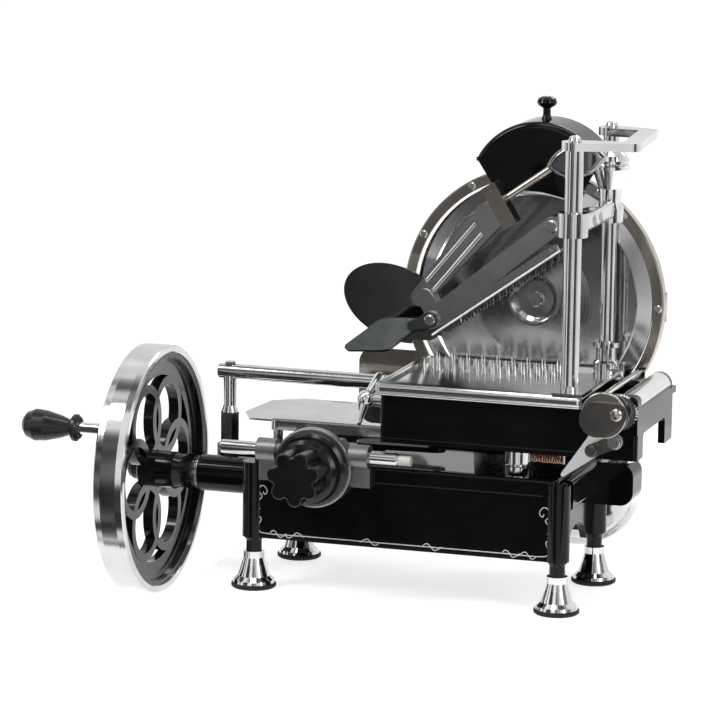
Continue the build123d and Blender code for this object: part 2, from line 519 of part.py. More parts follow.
def gear_case():
    """Casting behind the blade: a bowl for the gear train with bearing bosses in its front wall."""
    bowl = upright(case_outline(CASE_CLEAR + CASE_T), CASE_FRONT, CASE_BACK - CASE_T)
    bowl -= upright(case_outline(CASE_CLEAR), CASE_FRONT + CASE_T, CASE_BACK)
    bowl += rod("Y", (BLADE_X, SHOULDER_Y1, SHAFT_Z), CASE_FRONT - SHOULDER_Y1, CROSS_BOSS_D + 14)
    bowl -= rod("Y", (BLADE_X, SHOULDER_Y1 - 1, SHAFT_Z), 40, SHAFT_D + 2)
    bowl += rod("Y", (BLADE_X, CASE_FRONT, IDLER_Z), CASE_BACK - CASE_T - CASE_FRONT, IDLER_PIN_D)
    bowl += ring_arms()
    return bowl - rod("Y", (BLADE_X, RING_Y, BLADE_Z), 40, bush_d(ARBOR_D) + 2 * SEAT)


def case_cover():
    return upright(case_outline(CASE_CLEAR + CASE_T), CASE_BACK - CASE_T, CASE_BACK)


def blade():
    """Dished round knife with a bevelled edge and a deep centre cup."""
    r = BLADE_D / 2
    return turned("Y", (BLADE_X, BLADE_Y, BLADE_Z), [
        (4 + SEAT, 10), (19, 10), (23, 6), (24.5, 1.2), (27, 1.2), (60, 2.4), (r - 17, 1.6), (r - 15, 0), (r - 0.6, 3.4),
        (r, 3.9), (r - 1, 4.6), (r - 16, 6), (60, 6.5), (28, 5.5), (27, 10), (22, 13), (4 + SEAT, 13)])


def blade_ring():
    """Guard ring round the blade, open at the foot where the slice leaves, with a lug for each arm."""
    r = RING_OD / 2
    profile = make_face(Polyline((r - RING_T, RING_Y), (r - 1.5, RING_Y), (r, RING_Y + 1.5), (r, RING_Y + RING_W),
                                 (r - 6, RING_Y + RING_W), (r - 6, RING_Y + 4), (r - RING_T, RING_Y + 4), close=True))
    ring = revolve(profile, Axis.Y, RING_SPAN)
    return Pos(BLADE_X, 0, BLADE_Z) * Rot(0, RING_FROM - RING_SPAN, 0) * ring


def ring_arms():
    """Plate behind the blade that carries the guard ring from the gear case."""
    y0, y1 = RING_Y + RING_W, CASE_FRONT
    y0 += 2.5
    r = RING_OD / 2 - 6
    bar = Rectangle(2 * r + 4, 30) + Circle(52)
    bar = Pos(BLADE_X, BLADE_Z) * (bar - Circle(31))
    plate = upright(bar, y0, y1)
    for side in (-1, 1):
        x = BLADE_X + side * (r + 3)
        plate += block(x - 3, x + 3, RING_Y + RING_W, y1, BLADE_Z - 15, BLADE_Z + 15)
    return plate


def ring_screws():
    spots = []
    for a in (0, 60, 120, 152, 180):
        r = RING_OD / 2 - RING_T / 2
        spots.append((BLADE_X + r * math.cos(math.radians(a)), RING_Y - 1.6, BLADE_Z + r * math.sin(math.radians(a))))
    return spread(turned("Y", (0, 0, 0), [(0, 0), (3, 0), (4, 1), (4, 1.6), (0, 1.6)]), spots)


# ---- carriage ---------------------------------------------------------------------------------------
CROSS_WEB_Z = 190.0
LEG_Y = -66.0                         # inner edge of the right wall's front leg
REAR_LEG_Y, REAR_LEG_BOTTOM = 23.0, 161.0
END_TOP, END_X, END_T = 228.0, 192.0, 14.0
GUIDE_X, GUIDE_W, GUIDE_TOP = (26.0, 146.0), 12.0, 217.0
COVER_R, COVER_T = 13.0, 1.2
GUIDE_ROD_X, GUIDE_ROD_Z = 203.0, 223.0
REAR_END_Y0, REAR_END_Y1, REAR_END_BOTTOM = 60.0, 67.0, 206.5


def carriage_frame():
    """Open cast frame: front skirt, arched right wall, low rear wall, cross web and feed screw ends."""
    t = SKIRT_T
    body = flat(Pos((CAR_LEFT + CAR_RIGHT) / 2, (SKIRT_Y + CAR_REAR) / 2) * RectangleRounded(
        CAR_RIGHT - CAR_LEFT, CAR_REAR - SKIRT_Y, 4), SKIRT_BOTTOM, SKIRT_TOP)
    body += block(CAR_RIGHT - t, CAR_RIGHT, REAR_LEG_Y, CAR_REAR, REAR_LEG_BOTTOM, SKIRT_TOP)
    body -= block(CAR_LEFT + t, CAR_RIGHT - t, SKIRT_Y + t, CAR_REAR - t, 0, 400)
    web = block(CAR_LEFT + t, CAR_RIGHT - t, SKIRT_Y + t, CAR_REAR - t, CROSS_WEB_Z, CROSS_WEB_Z + 6)
    web -= flat(Pos(20, 2) * RectangleRounded(50, 70, 10), CROSS_WEB_Z, CROSS_WEB_Z + 6)
    web -= flat(Pos(196, -15) * RectangleRounded(50, 90, 10), CROSS_WEB_Z, CROSS_WEB_Z + 6)
    body += web
    # rear, left and right walls are cut high so that they pass over the rails and the deck
    body -= block(CAR_LEFT - 1, CAR_RIGHT - t, CAR_REAR - t, CAR_REAR + 1, 100, CROSS_WEB_Z - 4)
    body -= block(CAR_LEFT - 1, CAR_LEFT + t, SKIRT_Y + t, CAR_REAR + 1, 100, CROSS_WEB_Z - 4)
    arch = block(CAR_RIGHT - t - 1, CAR_RIGHT + 1, LEG_Y, REAR_LEG_Y, 100, CROSS_WEB_Z - 2)
    body -= fillet(arch.edges().filter_by(Axis.X).group_by(Axis.Z)[-1], 5)
    # front end block and rear end block carry the feed screw
    front = block(END_X, CAR_RIGHT, SKIRT_Y, SKIRT_Y + END_T, CROSS_WEB_Z, END_TOP)
    front = fillet(front.edges().filter_by(Axis.Y).group_by(Axis.Z)[-1], 6)
    rear = block(SCREW_X - 14, CAR_RIGHT, CAR_REAR - t, REAR_END_Y1, REAR_END_BOTTOM, SKIRT_TOP)
    rear += block(SCREW_X - 14, CAR_RIGHT, REAR_END_Y0, REAR_END_Y1, REAR_END_BOTTOM, SCREW_Z)
    rear += rod("Y", (SCREW_X, REAR_END_Y0, SCREW_Z), REAR_END_Y1 - REAR_END_Y0, 2 * COVER_R) & block(
        0, CAR_RIGHT, 0, 100, REAR_END_BOTTOM, 300)
    body += front + rear
    for x in GUIDE_X:
        body += block(x - GUIDE_W / 2, x + GUIDE_W / 2, SKIRT_Y, CAR_REAR, CROSS_WEB_Z + 2, GUIDE_TOP)
    body += carriage_pin()
    bore = SCREW_D + 2 * RUN_FIT
    body -= rod("Y", (SCREW_X, SKIRT_Y - 1, SCREW_Z), END_T + 2, bore)
    body -= rod("Y", (SCREW_X, CAR_REAR - 20, SCREW_Z), 40, bore) & block(0, 300, REAR_END_Y0 - 1, 100, 0, 300)
    clear = rod("Y", (SCREW_X, SKIRT_Y + END_T, SCREW_Z), REAR_END_Y0 - SKIRT_Y - END_T, 2 * NUT_R + 2 * GAP + 1)
    body -= clear
    body -= block(TABLE_X1 - 4, SCREW_X, SKIRT_Y + END_T, REAR_END_Y0, SKIRT_TOP, 300)
    return body


NUT_R, NUT_L, NUT_Y = 9.0, 15.0, 44.0


def rail_shoes():
    """Bored sleeve on the rear wall for the round rail, and the shoe for the flat bar."""
    sleeve = rod("X", (SLEEVE_LEFT, RAIL_Y, RAIL_Z), SLEEVE_RIGHT - SLEEVE_LEFT, SLEEVE_D)
    sleeve += block(SLEEVE_LEFT, SLEEVE_RIGHT, CAR_REAR, RAIL_Y, RAIL_Z - 6, RAIL_Z + 6)
    sleeve &= block(0, 400, CAR_REAR, 200, 0, 400)
    waist = rod("X", (SLEEVE_LEFT + 30, RAIL_Y, RAIL_Z), SLEEVE_RIGHT - SLEEVE_LEFT - 60, SLEEVE_D + 2)
    waist -= rod("X", (SLEEVE_LEFT + 30, RAIL_Y, RAIL_Z), SLEEVE_RIGHT - SLEEVE_LEFT - 60, SLEEVE_D - 2)
    sleeve -= waist & block(0, 300, RAIL_Y, RAIL_Y + 30, 0, 400)
    sleeve -= rod("X", (SLEEVE_LEFT, RAIL_Y, RAIL_Z), SLEEVE_RIGHT - SLEEVE_LEFT, RAIL_D + 2 * RUN_FIT)
    return Compound(children=[*sleeve.solids(), *front_shoe().solids()])


SHOE_X0, SHOE_X1 = 2.0, 42.0


def front_shoe():
    """Shoe under the cross web that rests on the flat front bar."""
    top = BAR_BOTTOM + BAR_H + 0.1
    shoe = block(SHOE_X0, SHOE_X1, BAR_Y - 5, BAR_Y + 5, top, top + 6)
    shoe = fillet(shoe.edges().filter_by(Axis.Y).group_by(Axis.Z)[0], 1.5)
    return shoe + block(SHOE_X0 - 6, SHOE_X1 + 6, BAR_Y - 8, BAR_Y + 8, top + 6, CROSS_WEB_Z)


def feed_cover():
    """Rolled cover over the feed screw with a rounded guide strip beside it."""
    y0, y1 = SKIRT_Y + END_T, REAR_END_Y0
    tube = rod("Y", (SCREW_X, y0, SCREW_Z), y1 - y0, 2 * COVER_R)
    tube -= rod("Y", (SCREW_X, y0, SCREW_Z), y1 - y0, 2 * (COVER_R - COVER_T))
    keep = block(SCREW_X - 40, SCREW_X + 40, y0 - 1, y1 + 1, SCREW_Z + 6.5, 300)
    keep += block(SCREW_X, SCREW_X + 40, y0 - 1, y1 + 1, SKIRT_TOP + 0.2, 300)
    guide = rod("Y", (GUIDE_ROD_X, y0, GUIDE_ROD_Z), REAR_END_Y0 + 4 - y0, 7)
    guide += block(GUIDE_ROD_X - 2.5, SCREW_X - COVER_R - 1, REAR_END_Y0, REAR_END_Y1, REAR_END_BOTTOM + 0.5, GUIDE_ROD_Z + 3)
    return Compound(children=[*(tube & keep).solids(), *guide.solids()])


# ---- feed -------------------------------------------------------------------------------------------
RATCHET_R, RATCHET_TEETH, RATCHET_Y = 18.0, 36, -97.5
PAWL_DISC_R, PAWL_X, PAWL_Z = 23.0, 211.8, 210.5
PAWL_BIG_R = 17.5


def feed_screw():
    """Screw with its end journals."""
    front = SKIRT_Y
    back = REAR_END_Y1 + GAP
    core = rod("Y", (SCREW_X, front - 9, SCREW_Z), back - front + 9, SCREW_D)
    core += rod("Y", (SCREW_X, front - 13, SCREW_Z), 5, 8)
    y0, y1 = SKIRT_Y + END_T + 1, REAR_END_Y0 - 1
    count = int((y1 - y0) / 8)
    for i in range(count):
        groove = turned("Y", (SCREW_X, y0 + 4 + i * 8, SCREW_Z), [
            (SCREW_D / 2 - 1, 0), (SCREW_D / 2 + 1, -1.5), (SCREW_D / 2 + 1, 1.5)])
        core -= groove
    knob = turned("Y", (SCREW_X, back, SCREW_Z), [(0, 0), (5, 0), (5, 2.5), (4, 3.5), (0, 3.5)])
    return core + knob + ratchet_wheel()


def ratchet_wheel():
    """Fine-toothed wheel on the front of the feed screw."""
    points = []
    for i in range(RATCHET_TEETH):
        a = 2 * math.pi * i / RATCHET_TEETH
        b = a + 1.6 * math.pi / RATCHET_TEETH
        points += [(RATCHET_R * math.cos(a), RATCHET_R * math.sin(a)),
                   ((RATCHET_R - 1.4) * math.cos(b), (RATCHET_R - 1.4) * math.sin(b))]
    disc = extrude(make_face(Polyline(*points, close=True)), amount=6)
    return Pos(SCREW_X, RATCHET_Y, SCREW_Z) * Rot(*TURN["Y"]) * disc


def pawl_disc():
    """Round pawl housing in front of the ratchet wheel, with its screw."""
    disc = upright(Pos(PAWL_X, PAWL_Z) * Circle(PAWL_DISC_R), -104.5, -100)
    disc = fillet(disc.edges().filter_by(GeomType.CIRCLE).group_by(Axis.Y)[0], 1.2)
    head = turned("Y", (SCREW_X, -112, SCREW_Z), [(0, 0), (4.5, 0.6), (6.2, 2.2), (6.6, 4 - SEAT), (0, 4 - SEAT)])
    disc += head + rod("Y", (SCREW_X, -109, SCREW_Z), 6, 8)
    return disc - rod("Y", (SCREW_X, -103.5, SCREW_Z), 4, 8 + 2 * RUN_FIT)


def pawl_plate():
    """Dark pear-shaped plate over the pawl housing."""
    return upright(link((SCREW_X, SCREW_Z), 10.5, (PAWL_X - 6, PAWL_Z - 4), PAWL_BIG_R), -108, -104.5 - SEAT) \
        - rod("Y", (SCREW_X, -109, SCREW_Z), 8, 8.4)


def trip_lever():
    """Pointed steel lever that the stop rod turns at the end of the stroke."""
    y0, y1 = SKIRT_Y - GAP - TRIP_T, SKIRT_Y - GAP
    blade_part = link((204, 181), 11, (169.5, 146.5), 2.2)
    ear = link((TRIP_X, TRIP_Z), 8, (204, 184), 10)
    lever = upright(blade_part + ear, y0, y1)
    return lever - rod("Y", (TRIP_X, y0 - 1, TRIP_Z), 8, 6 + 2 * RUN_FIT)


def trip_link():
    y1 = SKIRT_Y - GAP - TRIP_T - SEAT
    plate = upright(link((TRIP_X, TRIP_Z), 7, (198, 172.5), 6.5), y1 - 2, y1)
    plate -= rod("Y", (TRIP_X, y1 - 3, TRIP_Z), 8, 6 + 2 * RUN_FIT)
    return plate + turned("Y", (198, y1 - 4.5, 172.5), [(0, 0), (5, 0), (5.6, 0.8), (5.6, 2.5 - SEAT), (0, 2.5 - SEAT)])


def trip_pivot():
    y1 = SKIRT_Y - GAP - TRIP_T - SEAT - 2
    head = turned("Y", (TRIP_X, y1 - 2.2, TRIP_Z), [(0, 0), (6, 0), (6.5, 0.7), (6.5, 2), (0, 2)])
    return head + rod("Y", (TRIP_X, y1 - 1, TRIP_Z), SKIRT_Y - y1 + 1, 6)


SPRING_X0, SPRING_Y, SPRING_Z = 132.0, -76.0, 157.0
SPRING_R, SPRING_WIRE, SPRING_TURNS, SPRING_PITCH = 3.4, 1.2, 12, 2.6


def trip_spring():
    """Coil spring that draws the trip lever back, one unbroken wire of quarter-turn biarcs."""
    lead = SPRING_PITCH / (2 * math.pi)

    def point(a):
        return Vector(SPRING_X0 + lead * a, SPRING_Y + SPRING_R * math.cos(a), SPRING_Z + SPRING_R * math.sin(a))

    def heading(a):
        return Vector(lead, -SPRING_R * math.sin(a), SPRING_R * math.cos(a)).normalized()

    edges = []
    for i in range(4 * SPRING_TURNS):
        a, b = i * math.pi / 2, (i + 1) * math.pi / 2
        p, q, u, v = point(a), point(b), heading(a), heading(b)
        gap, both = q - p, u + v
        # the two control legs are of one length t, with |gap - t * both| = 2 * t
        k = both.dot(both) - 4
        h = gap.dot(both)
        t = (h - math.sqrt(h * h - k * gap.dot(gap))) / k
        mid = ((p + u * t) + (q - v * t)) * 0.5
        edges += [Edge.make_tangent_arc(p, u, mid), Edge.make_tangent_arc(mid, (q - v * t) - (p + u * t), q)]
    path = Wire(edges)
    print("trip spring: least gap between turns", round(SPRING_PITCH - SPRING_WIRE, 2), "mm")
    section = Plane(origin=point(0), z_dir=heading(0)) * RegularPolygon(SPRING_WIRE / 2, 6)
    return sweep(section, path=path)


# ---- table ------------------------------------------------------------------------------------------
def table():
    """Sliding table: cast plate with a raised grooved rim and grooves underneath for the guides."""
    w, d = TABLE_X1 - TABLE_X0, TABLE_Y1 - TABLE_Y0
    cx, cy = (TABLE_X0 + TABLE_X1) / 2, (TABLE_Y0 + TABLE_Y1) / 2
    bottom = SKIRT_TOP + GAP
    body = flat(Pos(cx, cy) * RectangleRounded(w, d, 6), bottom, TABLE_TOP)
    body = chamfer(body.faces().sort_by(Axis.Z)[-1].outer_wire().edges(), 1.5)
    body -= flat(Pos(cx - 8, cy + 2) * RectangleRounded(w - 34, d - 22, 4), bottom + 6.5, TABLE_TOP)
    rim = flat(Pos(cx, cy) * (RectangleRounded(w - 7, d - 7, 4) - RectangleRounded(w - 10, d - 10, 3)),
               TABLE_TOP - 1.2, TABLE_TOP)
    body -= rim
    for x in GUIDE_X:
        body -= block(x - GUIDE_W / 2 - GAP, x + GUIDE_W / 2 + GAP, TABLE_Y0 - 1, TABLE_Y1 + 1, bottom - 1, GUIDE_TOP + GAP)
    for x, y, d0 in ((FRONT_COL_X, FRONT_COL_Y, FRONT_COL_D), (REAR_COL_X, REAR_COL_Y, REAR_COL_D)):
        body -= rod("Z", (x, y, bottom - 1), 30, d0 + 2 * SEAT)
    return body + feed_nut()


def food_plate():
    """Polished plate in the table with rows of spikes along its right half and rear edge."""
    bottom = SKIRT_TOP + GAP + 6.5
    cx, cy = (TABLE_X0 + TABLE_X1) / 2, (TABLE_Y0 + TABLE_Y1) / 2
    w, d = TABLE_X1 - TABLE_X0, TABLE_Y1 - TABLE_Y0
    plate = flat(Pos(cx - 8, cy + 2) * RectangleRounded(w - 34 - 2 * SEAT, d - 22 - 2 * SEAT, 4), bottom, bottom + 2.5)
    spike = Pos(0, 0, bottom + 2.5) * extrude(Circle(SPIKE_D / 2), amount=SPIKE_H, taper=9)
    spots = [(x + (6 if row % 2 else 0), 8.0 + 11 * row) for row in range(5) for x in range(-6, 126, 16)]
    for x, y in spots:
        plate += Pos(x, y, 0) * spike
    for x, y, col_d in ((FRONT_COL_X, FRONT_COL_Y, FRONT_COL_D), (REAR_COL_X, REAR_COL_Y, REAR_COL_D)):
        plate -= rod("Z", (x, y, bottom - 1), 10, col_d + 2)
    return plate


def column_seats():
    """Steel block under the front column and stepped collar at the foot of the rear one."""
    plate = block(157, TABLE_X1, TABLE_Y0, TABLE_Y0 + 40, TABLE_TOP, TABLE_TOP + 3)
    plate -= rod("Z", (FRONT_COL_X, FRONT_COL_Y, TABLE_TOP - 1), 10, FRONT_COL_D + 2 * SEAT)
    return Compound(children=[*plate.solids(), *column_bush().solids()])


def feed_nut():
    """Nut on the feed screw with its arm to the table."""
    nut = rod("Y", (SCREW_X, NUT_Y, SCREW_Z), NUT_L, 2 * NUT_R)
    nut &= block(0, 400, 0, 200, SKIRT_TOP - 8, 240)
    arm = block(TABLE_X1 - 2, SCREW_X, NUT_Y, NUT_Y + NUT_L, SKIRT_TOP + 0.6, SKIRT_TOP + 5.5)
    return nut + arm - rod("Y", (SCREW_X, NUT_Y - 1, SCREW_Z), NUT_L + 2, SCREW_D + 2 * GAP)


def columns():
    foot = SKIRT_TOP + GAP
    front = rod("Z", (FRONT_COL_X, FRONT_COL_Y, foot), COL_TOP - foot, FRONT_COL_D)
    return Compound(children=[front, rod("Z", (REAR_COL_X, REAR_COL_Y, foot), COL_TOP - foot, REAR_COL_D)])


def column_bush():
    bush_body = turned("Z", (REAR_COL_X, REAR_COL_Y, TABLE_TOP), [
        (REAR_COL_D / 2 + SEAT, 0), (13, 0), (13, 9), (10.5, 11), (10.5, 24), (14, 25), (14, 30), (REAR_COL_D / 2 + SEAT, 30)])
    return bush_body & block(REAR_COL_X - 40, REAR_COL_X + 40, 0, TABLE_Y1, 0, 400)


def top_bracket():
    """Flat cast bracket that ties the tops of the two columns, bowed away from the blade's side."""
    spots = [(FRONT_COL_X, FRONT_COL_Y), (222, -57), (212, 50), (REAR_COL_X, REAR_COL_Y)]
    radii = (13, 9, 9, 13)
    outline = None
    for i in range(3):
        piece = link(spots[i], radii[i], spots[i + 1], radii[i + 1])
        outline = piece if outline is None else outline + piece
    plate = flat(outline, COL_TOP, COL_TOP + 8)
    bolt = turned("Z", (0, 0, COL_TOP + 8), [(0, 0), (6.5, 0), (6.5, 1.5), (5, 5), (2, 6), (0, 6)])
    for x, y in ((FRONT_COL_X, FRONT_COL_Y), (REAR_COL_X, REAR_COL_Y)):
        plate += Pos(x, y, 0) * bolt
    return plate


# ---- press ------------------------------------------------------------------------------------------
SLIDER_FOOT, SLIDER_TOP = 378.0, 452.0
PIVOT = (136.0, SLIDER_FOOT + 5)
PRESS_Y = -20.0
PRESS_DIP = 35.5                      # slope of the press plate below level
CARRIER_Z = SLIDER_FOOT + 14


def press_slider():
    """Turned sleeve on the rear column, bell-mouthed with a double collar."""
    r = REAR_COL_D / 2 + RUN_FIT
    h = SLIDER_TOP - SLIDER_FOOT
    k = h / 74
    sleeve = turned("Z", (REAR_COL_X, REAR_COL_Y, SLIDER_FOOT), [
        (r, 0), (14, 0), (14, 14 * k), (11, 20 * k), (12, 34 * k), (15.5, 44 * k), (19, 54 * k), (19, 57 * k),
        (17, 58.5 * k), (19, 60 * k), (19, 63 * k), (16, 68 * k), (r + 2, h), (r, h)])
    return sleeve & block(REAR_COL_X - 40, REAR_COL_X + 40, 0, HOOD_Y0 - 2 * GAP, 0, 600)


def press_carrier():
    """Cross bar between the columns with the fork that holds the press arm's pin."""
    bar = block(REAR_COL_X - 6, REAR_COL_X + 8, FRONT_COL_Y, REAR_COL_Y - 14.2, CARRIER_Z - 9, CARRIER_Z + 9)
    bar = fillet(bar.edges().filter_by(Axis.Y), 4)
    eye = rod("Z", (FRONT_COL_X, FRONT_COL_Y, CARRIER_Z - 12), 24, FRONT_COL_D + 12)
    ears = []
    for y in (PRESS_Y - 14, PRESS_Y + 10):
        ears.append(upright(link(PIVOT, 9, (REAR_COL_X, CARRIER_Z), 10), y, y + 4))
    carrier = bar + eye + ears[0] + ears[1]
    carrier -= rod("Z", (FRONT_COL_X, FRONT_COL_Y, CARRIER_Z - 30), 60, FRONT_COL_D + 2 * RUN_FIT)
    carrier += rod("Y", (PIVOT[0], PRESS_Y - 14, PIVOT[1]), 28, 8)
    return carrier + turned("Y", (PIVOT[0], PRESS_Y - 17, PIVOT[1]), [(0, 0), (5.5, 0), (6.5, 1), (6.5, 3), (0, 3)])


def along(solid):
    """Places a solid drawn with +X up the slope from the arm's pivot, and +Z square to the slope."""
    return Pos(PIVOT[0], PRESS_Y, PIVOT[1]) * Rot(0, -PRESS_DIP, 0) * solid


PLATE_OFF = -24.0                     # press plate below the pivot, square to the slope
PLATE_A, PLATE_B = -161.0, 4.0
STAY_AT = (-36.0, 0.0, 46.0)          # cross block, in the arm's own slope frame
STAY_END = 34.0


def press_plate():
    """Toothed plate that grips the food, two rows of saw teeth along its edges."""
    plate = block(PLATE_A, PLATE_B, -38, 42, PLATE_OFF - 2.5, PLATE_OFF)
    plate = fillet(plate.edges().filter_by(Axis.Z), 5)
    pitch, count = 8.2, 19
    tooth = make_face(Polyline((0, 0), (pitch - 0.8, 0), (pitch / 2, -5.5), close=True))
    for y0 in (-36, -2, 32):
        for i in range(count):
            plate += upright(Pos(PLATE_A + 5 + i * pitch, PLATE_OFF - 2.5) * tooth, y0, y0 + 2.4)
    return along(plate)


def press_arm():
    """Cast arm from the pivot down to the knuckle, ribbed along its back."""
    side = link((0, 0), 9.7, (-160, -11), 10)
    beam = upright(side, -9.7, 9.7)
    web = block(-150, -14, -16, 16, PLATE_OFF, PLATE_OFF + 8)
    beam += web + upright(link((-155, -5), 8, (-154, 12), 8), -9.7, 9.7)
    for y in (-6, 0, 6):
        beam -= Pos(-75, y, 9.4) * Rot(0, -4, 0) * groove(118, 3.2)
    beam -= rod("Y", (0, -20, 0), 40, 8 + 2 * RUN_FIT)
    low, high = (-159, 14), (-52, 43)
    strut = upright(link(low, 9, high, 15), -7, 7)
    slope = -math.degrees(math.atan2(high[1] - low[1], high[0] - low[0]))
    for y in (-7, 7):
        for lift in (-6, 6):
            strut -= Pos((low[0] + high[0]) / 2, y, (low[1] + high[1]) / 2 + lift) * Rot(0, slope, 0) * groove(80, 6)
    strut -= Pos(*STAY_AT) * Rot(0, 4, 0) * Pos(40 - 8 - SEAT, 0, 0) * Box(80, 60, 70)
    pin = rod("Y", (KNUCKLE[0], -16, KNUCKLE[1]), 32, 6)
    pin += turned("Y", (KNUCKLE[0], -18.2, KNUCKLE[1]), [(0, 0), (4.5, 0), (5.5, 1), (5.5, 2.2), (0, 2.2)])
    return along(beam + strut + pin)


def groove(length, d):
    """Round bar along X about the origin, for cutting a rounded groove."""
    return rod("X", (-length / 2, 0, 0), length, d)


def press_stay():
    """Polished cross block on the head of the strut, with the round stay to the thumb piece."""
    body = Pos(*STAY_AT) * Rot(0, 4, 0) * Box(16, 18, 47)
    body = fillet(body.edges().filter_by(Axis.Y), 1)
    stay = rod("X", (STAY_AT[0], 0, STAY_AT[2] + 3), STAY_END - STAY_AT[0], 7)
    return along(body + stay)


def thumb_piece():
    """Almond-shaped chrome thumb piece at the head of the stay."""
    half, top = 31, 17
    almond = make_face(ThreePointArc((-half, 0), (0, top), (half, 0)) + ThreePointArc((half, 0), (0, -top), (-half, 0)))
    lobe = upright(almond, -8, 8)
    lobe = Pos(55, 0, 40.7) * Rot(0, 23.5, 0) * fillet(lobe.edges().filter_by(GeomType.CIRCLE), 5.5)
    return along(lobe - rod("X", (0, 0, STAY_AT[2] + 3), STAY_END + SEAT, 7 + 2 * SEAT))


LEAF_ROLL, LEVER_DIP = 55.0, 22.0     # roll of the leaf about its own length, and its fall below level
KNUCKLE = (-160.0, -11.0)             # in the arm's own slope frame


def hand_lever():
    """Leaf-shaped hand lever hung on the knuckle of the arm."""
    ear = upright(link((0, 0), 8, (-14, 0), 6), -14.5, 14.5)
    ear -= upright(Circle(12), -9.7 - GAP, 9.7 + GAP)
    neck = upright(link((-16, 0), 5, (-24, 0), 5), -6, 6)
    leaf = link((-22, 0), 6, (-56, 0), 18) + link((-56, 0), 18, (-97, 0), 4)
    blade_part = Rot(LEAF_ROLL, 0, 0) * extrude(leaf, amount=2.2, both=True)
    lever = ear + neck + blade_part
    lever -= rod("Y", (0, -20, 0), 40, 6 + 2 * RUN_FIT)
    return along(Pos(KNUCKLE[0], 0, KNUCKLE[1]) * Rot(0, PRESS_DIP - LEVER_DIP, 0) * lever)


PRESS_DROP = 20.0                     # how far the press comes down from where it stands


def hand_guard():
    """Oval polished guard that keeps the hand off the blade."""
    oval = upright(Pos(-47, 283) * Rot(0, 0, -20) * Ellipse(58, 38), 38, 40.5)
    oval -= block(TABLE_X0 - 3, TABLE_X1, 37, 42, TABLE_TOP, TABLE_TOP + PRESS_DROP + 1.5)
    side = 38 - PRESS_Y
    strip = upright(link((-184, 5), 7, (-145, -23), 5), side, side + 2.5)
    strip += block(-152, -138, 42 + SEAT, side + 2.5, PLATE_OFF - 3, PLATE_OFF + 3)
    return oval + along(strip)


def lock_lever():
    """Bent lever with a ball hub on the left wall."""
    hub = Sphere(9)
    end = (4, 32, 16.5)
    up = cone_between((0, 0, 0), end, 4.6, 5.6)
    tail = cone_between((0, 0, 0), (0, -22, -22), 4.6, 2.2)
    lever = hub + up + tail + Pos(*end) * Sphere(5.6)
    return Pos(*LOCK_AT) * (lever - rod("X", (0, 0, 0), 12, 8 + 2 * RUN_FIT))


def carriage_studs():
    """Stud of the lock lever and pivot screw of the trip lever."""
    start = LOCK_AT[0] + 1
    stud = rod("X", (start, *LOCK_AT[1:]), CAR_LEFT - start, 8)
    stud += rod("X", (LOCK_AT[0] + 9.5, *LOCK_AT[1:]), CAR_LEFT - LOCK_AT[0] - 9.5, 15)
    pegs = [rod("Z", (x, SPRING_Y, SPRING_Z - 4), CROSS_WEB_Z - SPRING_Z + 4, 2.4)
            for x in (SPRING_X0 - 2.1, SPRING_X0 + SPRING_TURNS * SPRING_PITCH + 2.1)]
    return Compound(children=[*stud.solids(), *trip_pivot().solids(), *pegs])


LOCK_AT = (-46.0, -60.0, 201.0)


def cone_between(a, b, ra, rb):
    """Round tapered bar from a to b."""
    v = Vector(*b) - Vector(*a)
    plane = Plane(origin=a, z_dir=v)
    return loft([plane * Circle(ra), plane * Pos(0, 0, v.length) * Circle(rb)])


# ---- fixed plates and sharpener ---------------------------------------------------------------------
TRAY_Z, TRAY_T = 137.0, 2.0


def receiving_tray():
    """Flat sheet behind the rail that the slices fall on."""
    outline = Polyline((-226, 98), (-242, 130), (-236, 200), (-206, 222), (14, 222), (14, 98), close=True)
    sheet = flat(make_face(outline), TRAY_Z, TRAY_Z + TRAY_T)
    sheet -= block(-172, -150, 214, 217, TRAY_Z - 1, TRAY_Z + 5)
    return sheet


def slice_plate():
    """Polished upright plate at the left of the blade that turns the slice down on the tray."""
    end = math.radians(RING_SPAN - RING_FROM)
    x, z = BLADE_X + RING_OD / 2 * math.cos(end) - 36.957, BLADE_Z + RING_OD / 2 * math.sin(end) - 23.347
    back = RING_Y + RING_W + SEAT
    return upright(Pos(x, z) * RectangleRounded(78, 80, 16), back, back + 1.5)


def sharpener_bracket():
    """Upright behind the blade that carries the sharpener."""
    plate = upright(link((BLADE_X, BLADE_Z + 30), 16, (BLADE_X + 2, 436), 12), CASE_BACK, CASE_BACK + 6)
    head = block(BLADE_X - 24, BLADE_X + 28, 96, CASE_BACK + 6, HOOD_BOTTOM - SEAT, 440)
    ledge = block(HOOD_X - HOOD_W / 2 - 1, HOOD_X + HOOD_W / 2 + 1, 100, 116, HOOD_BOTTOM - 4, HOOD_BOTTOM - SEAT)
    return plate + head + ledge


def sharpener_stones():
    """Two round stones on their spindles inside the hood."""
    stones = []
    for x in (BLADE_X - 16, BLADE_X + 18):
        stone = turned("Z", (x, 104, 440 + GAP), [(0, 0), (11, 0), (11, 3), (6, 9), (0, 9)])
        stones.append(stone)
    return Compound(children=stones)


HOOD_X, HOOD_W, HOOD_BOTTOM, HOOD_TOP, HOOD_Y0, HOOD_Y1 = 92.0, 134.0, 430.0, 473.0, 70.3, 132.0
HOOD_SKIRT, HOOD_T = 398.0, 2.5


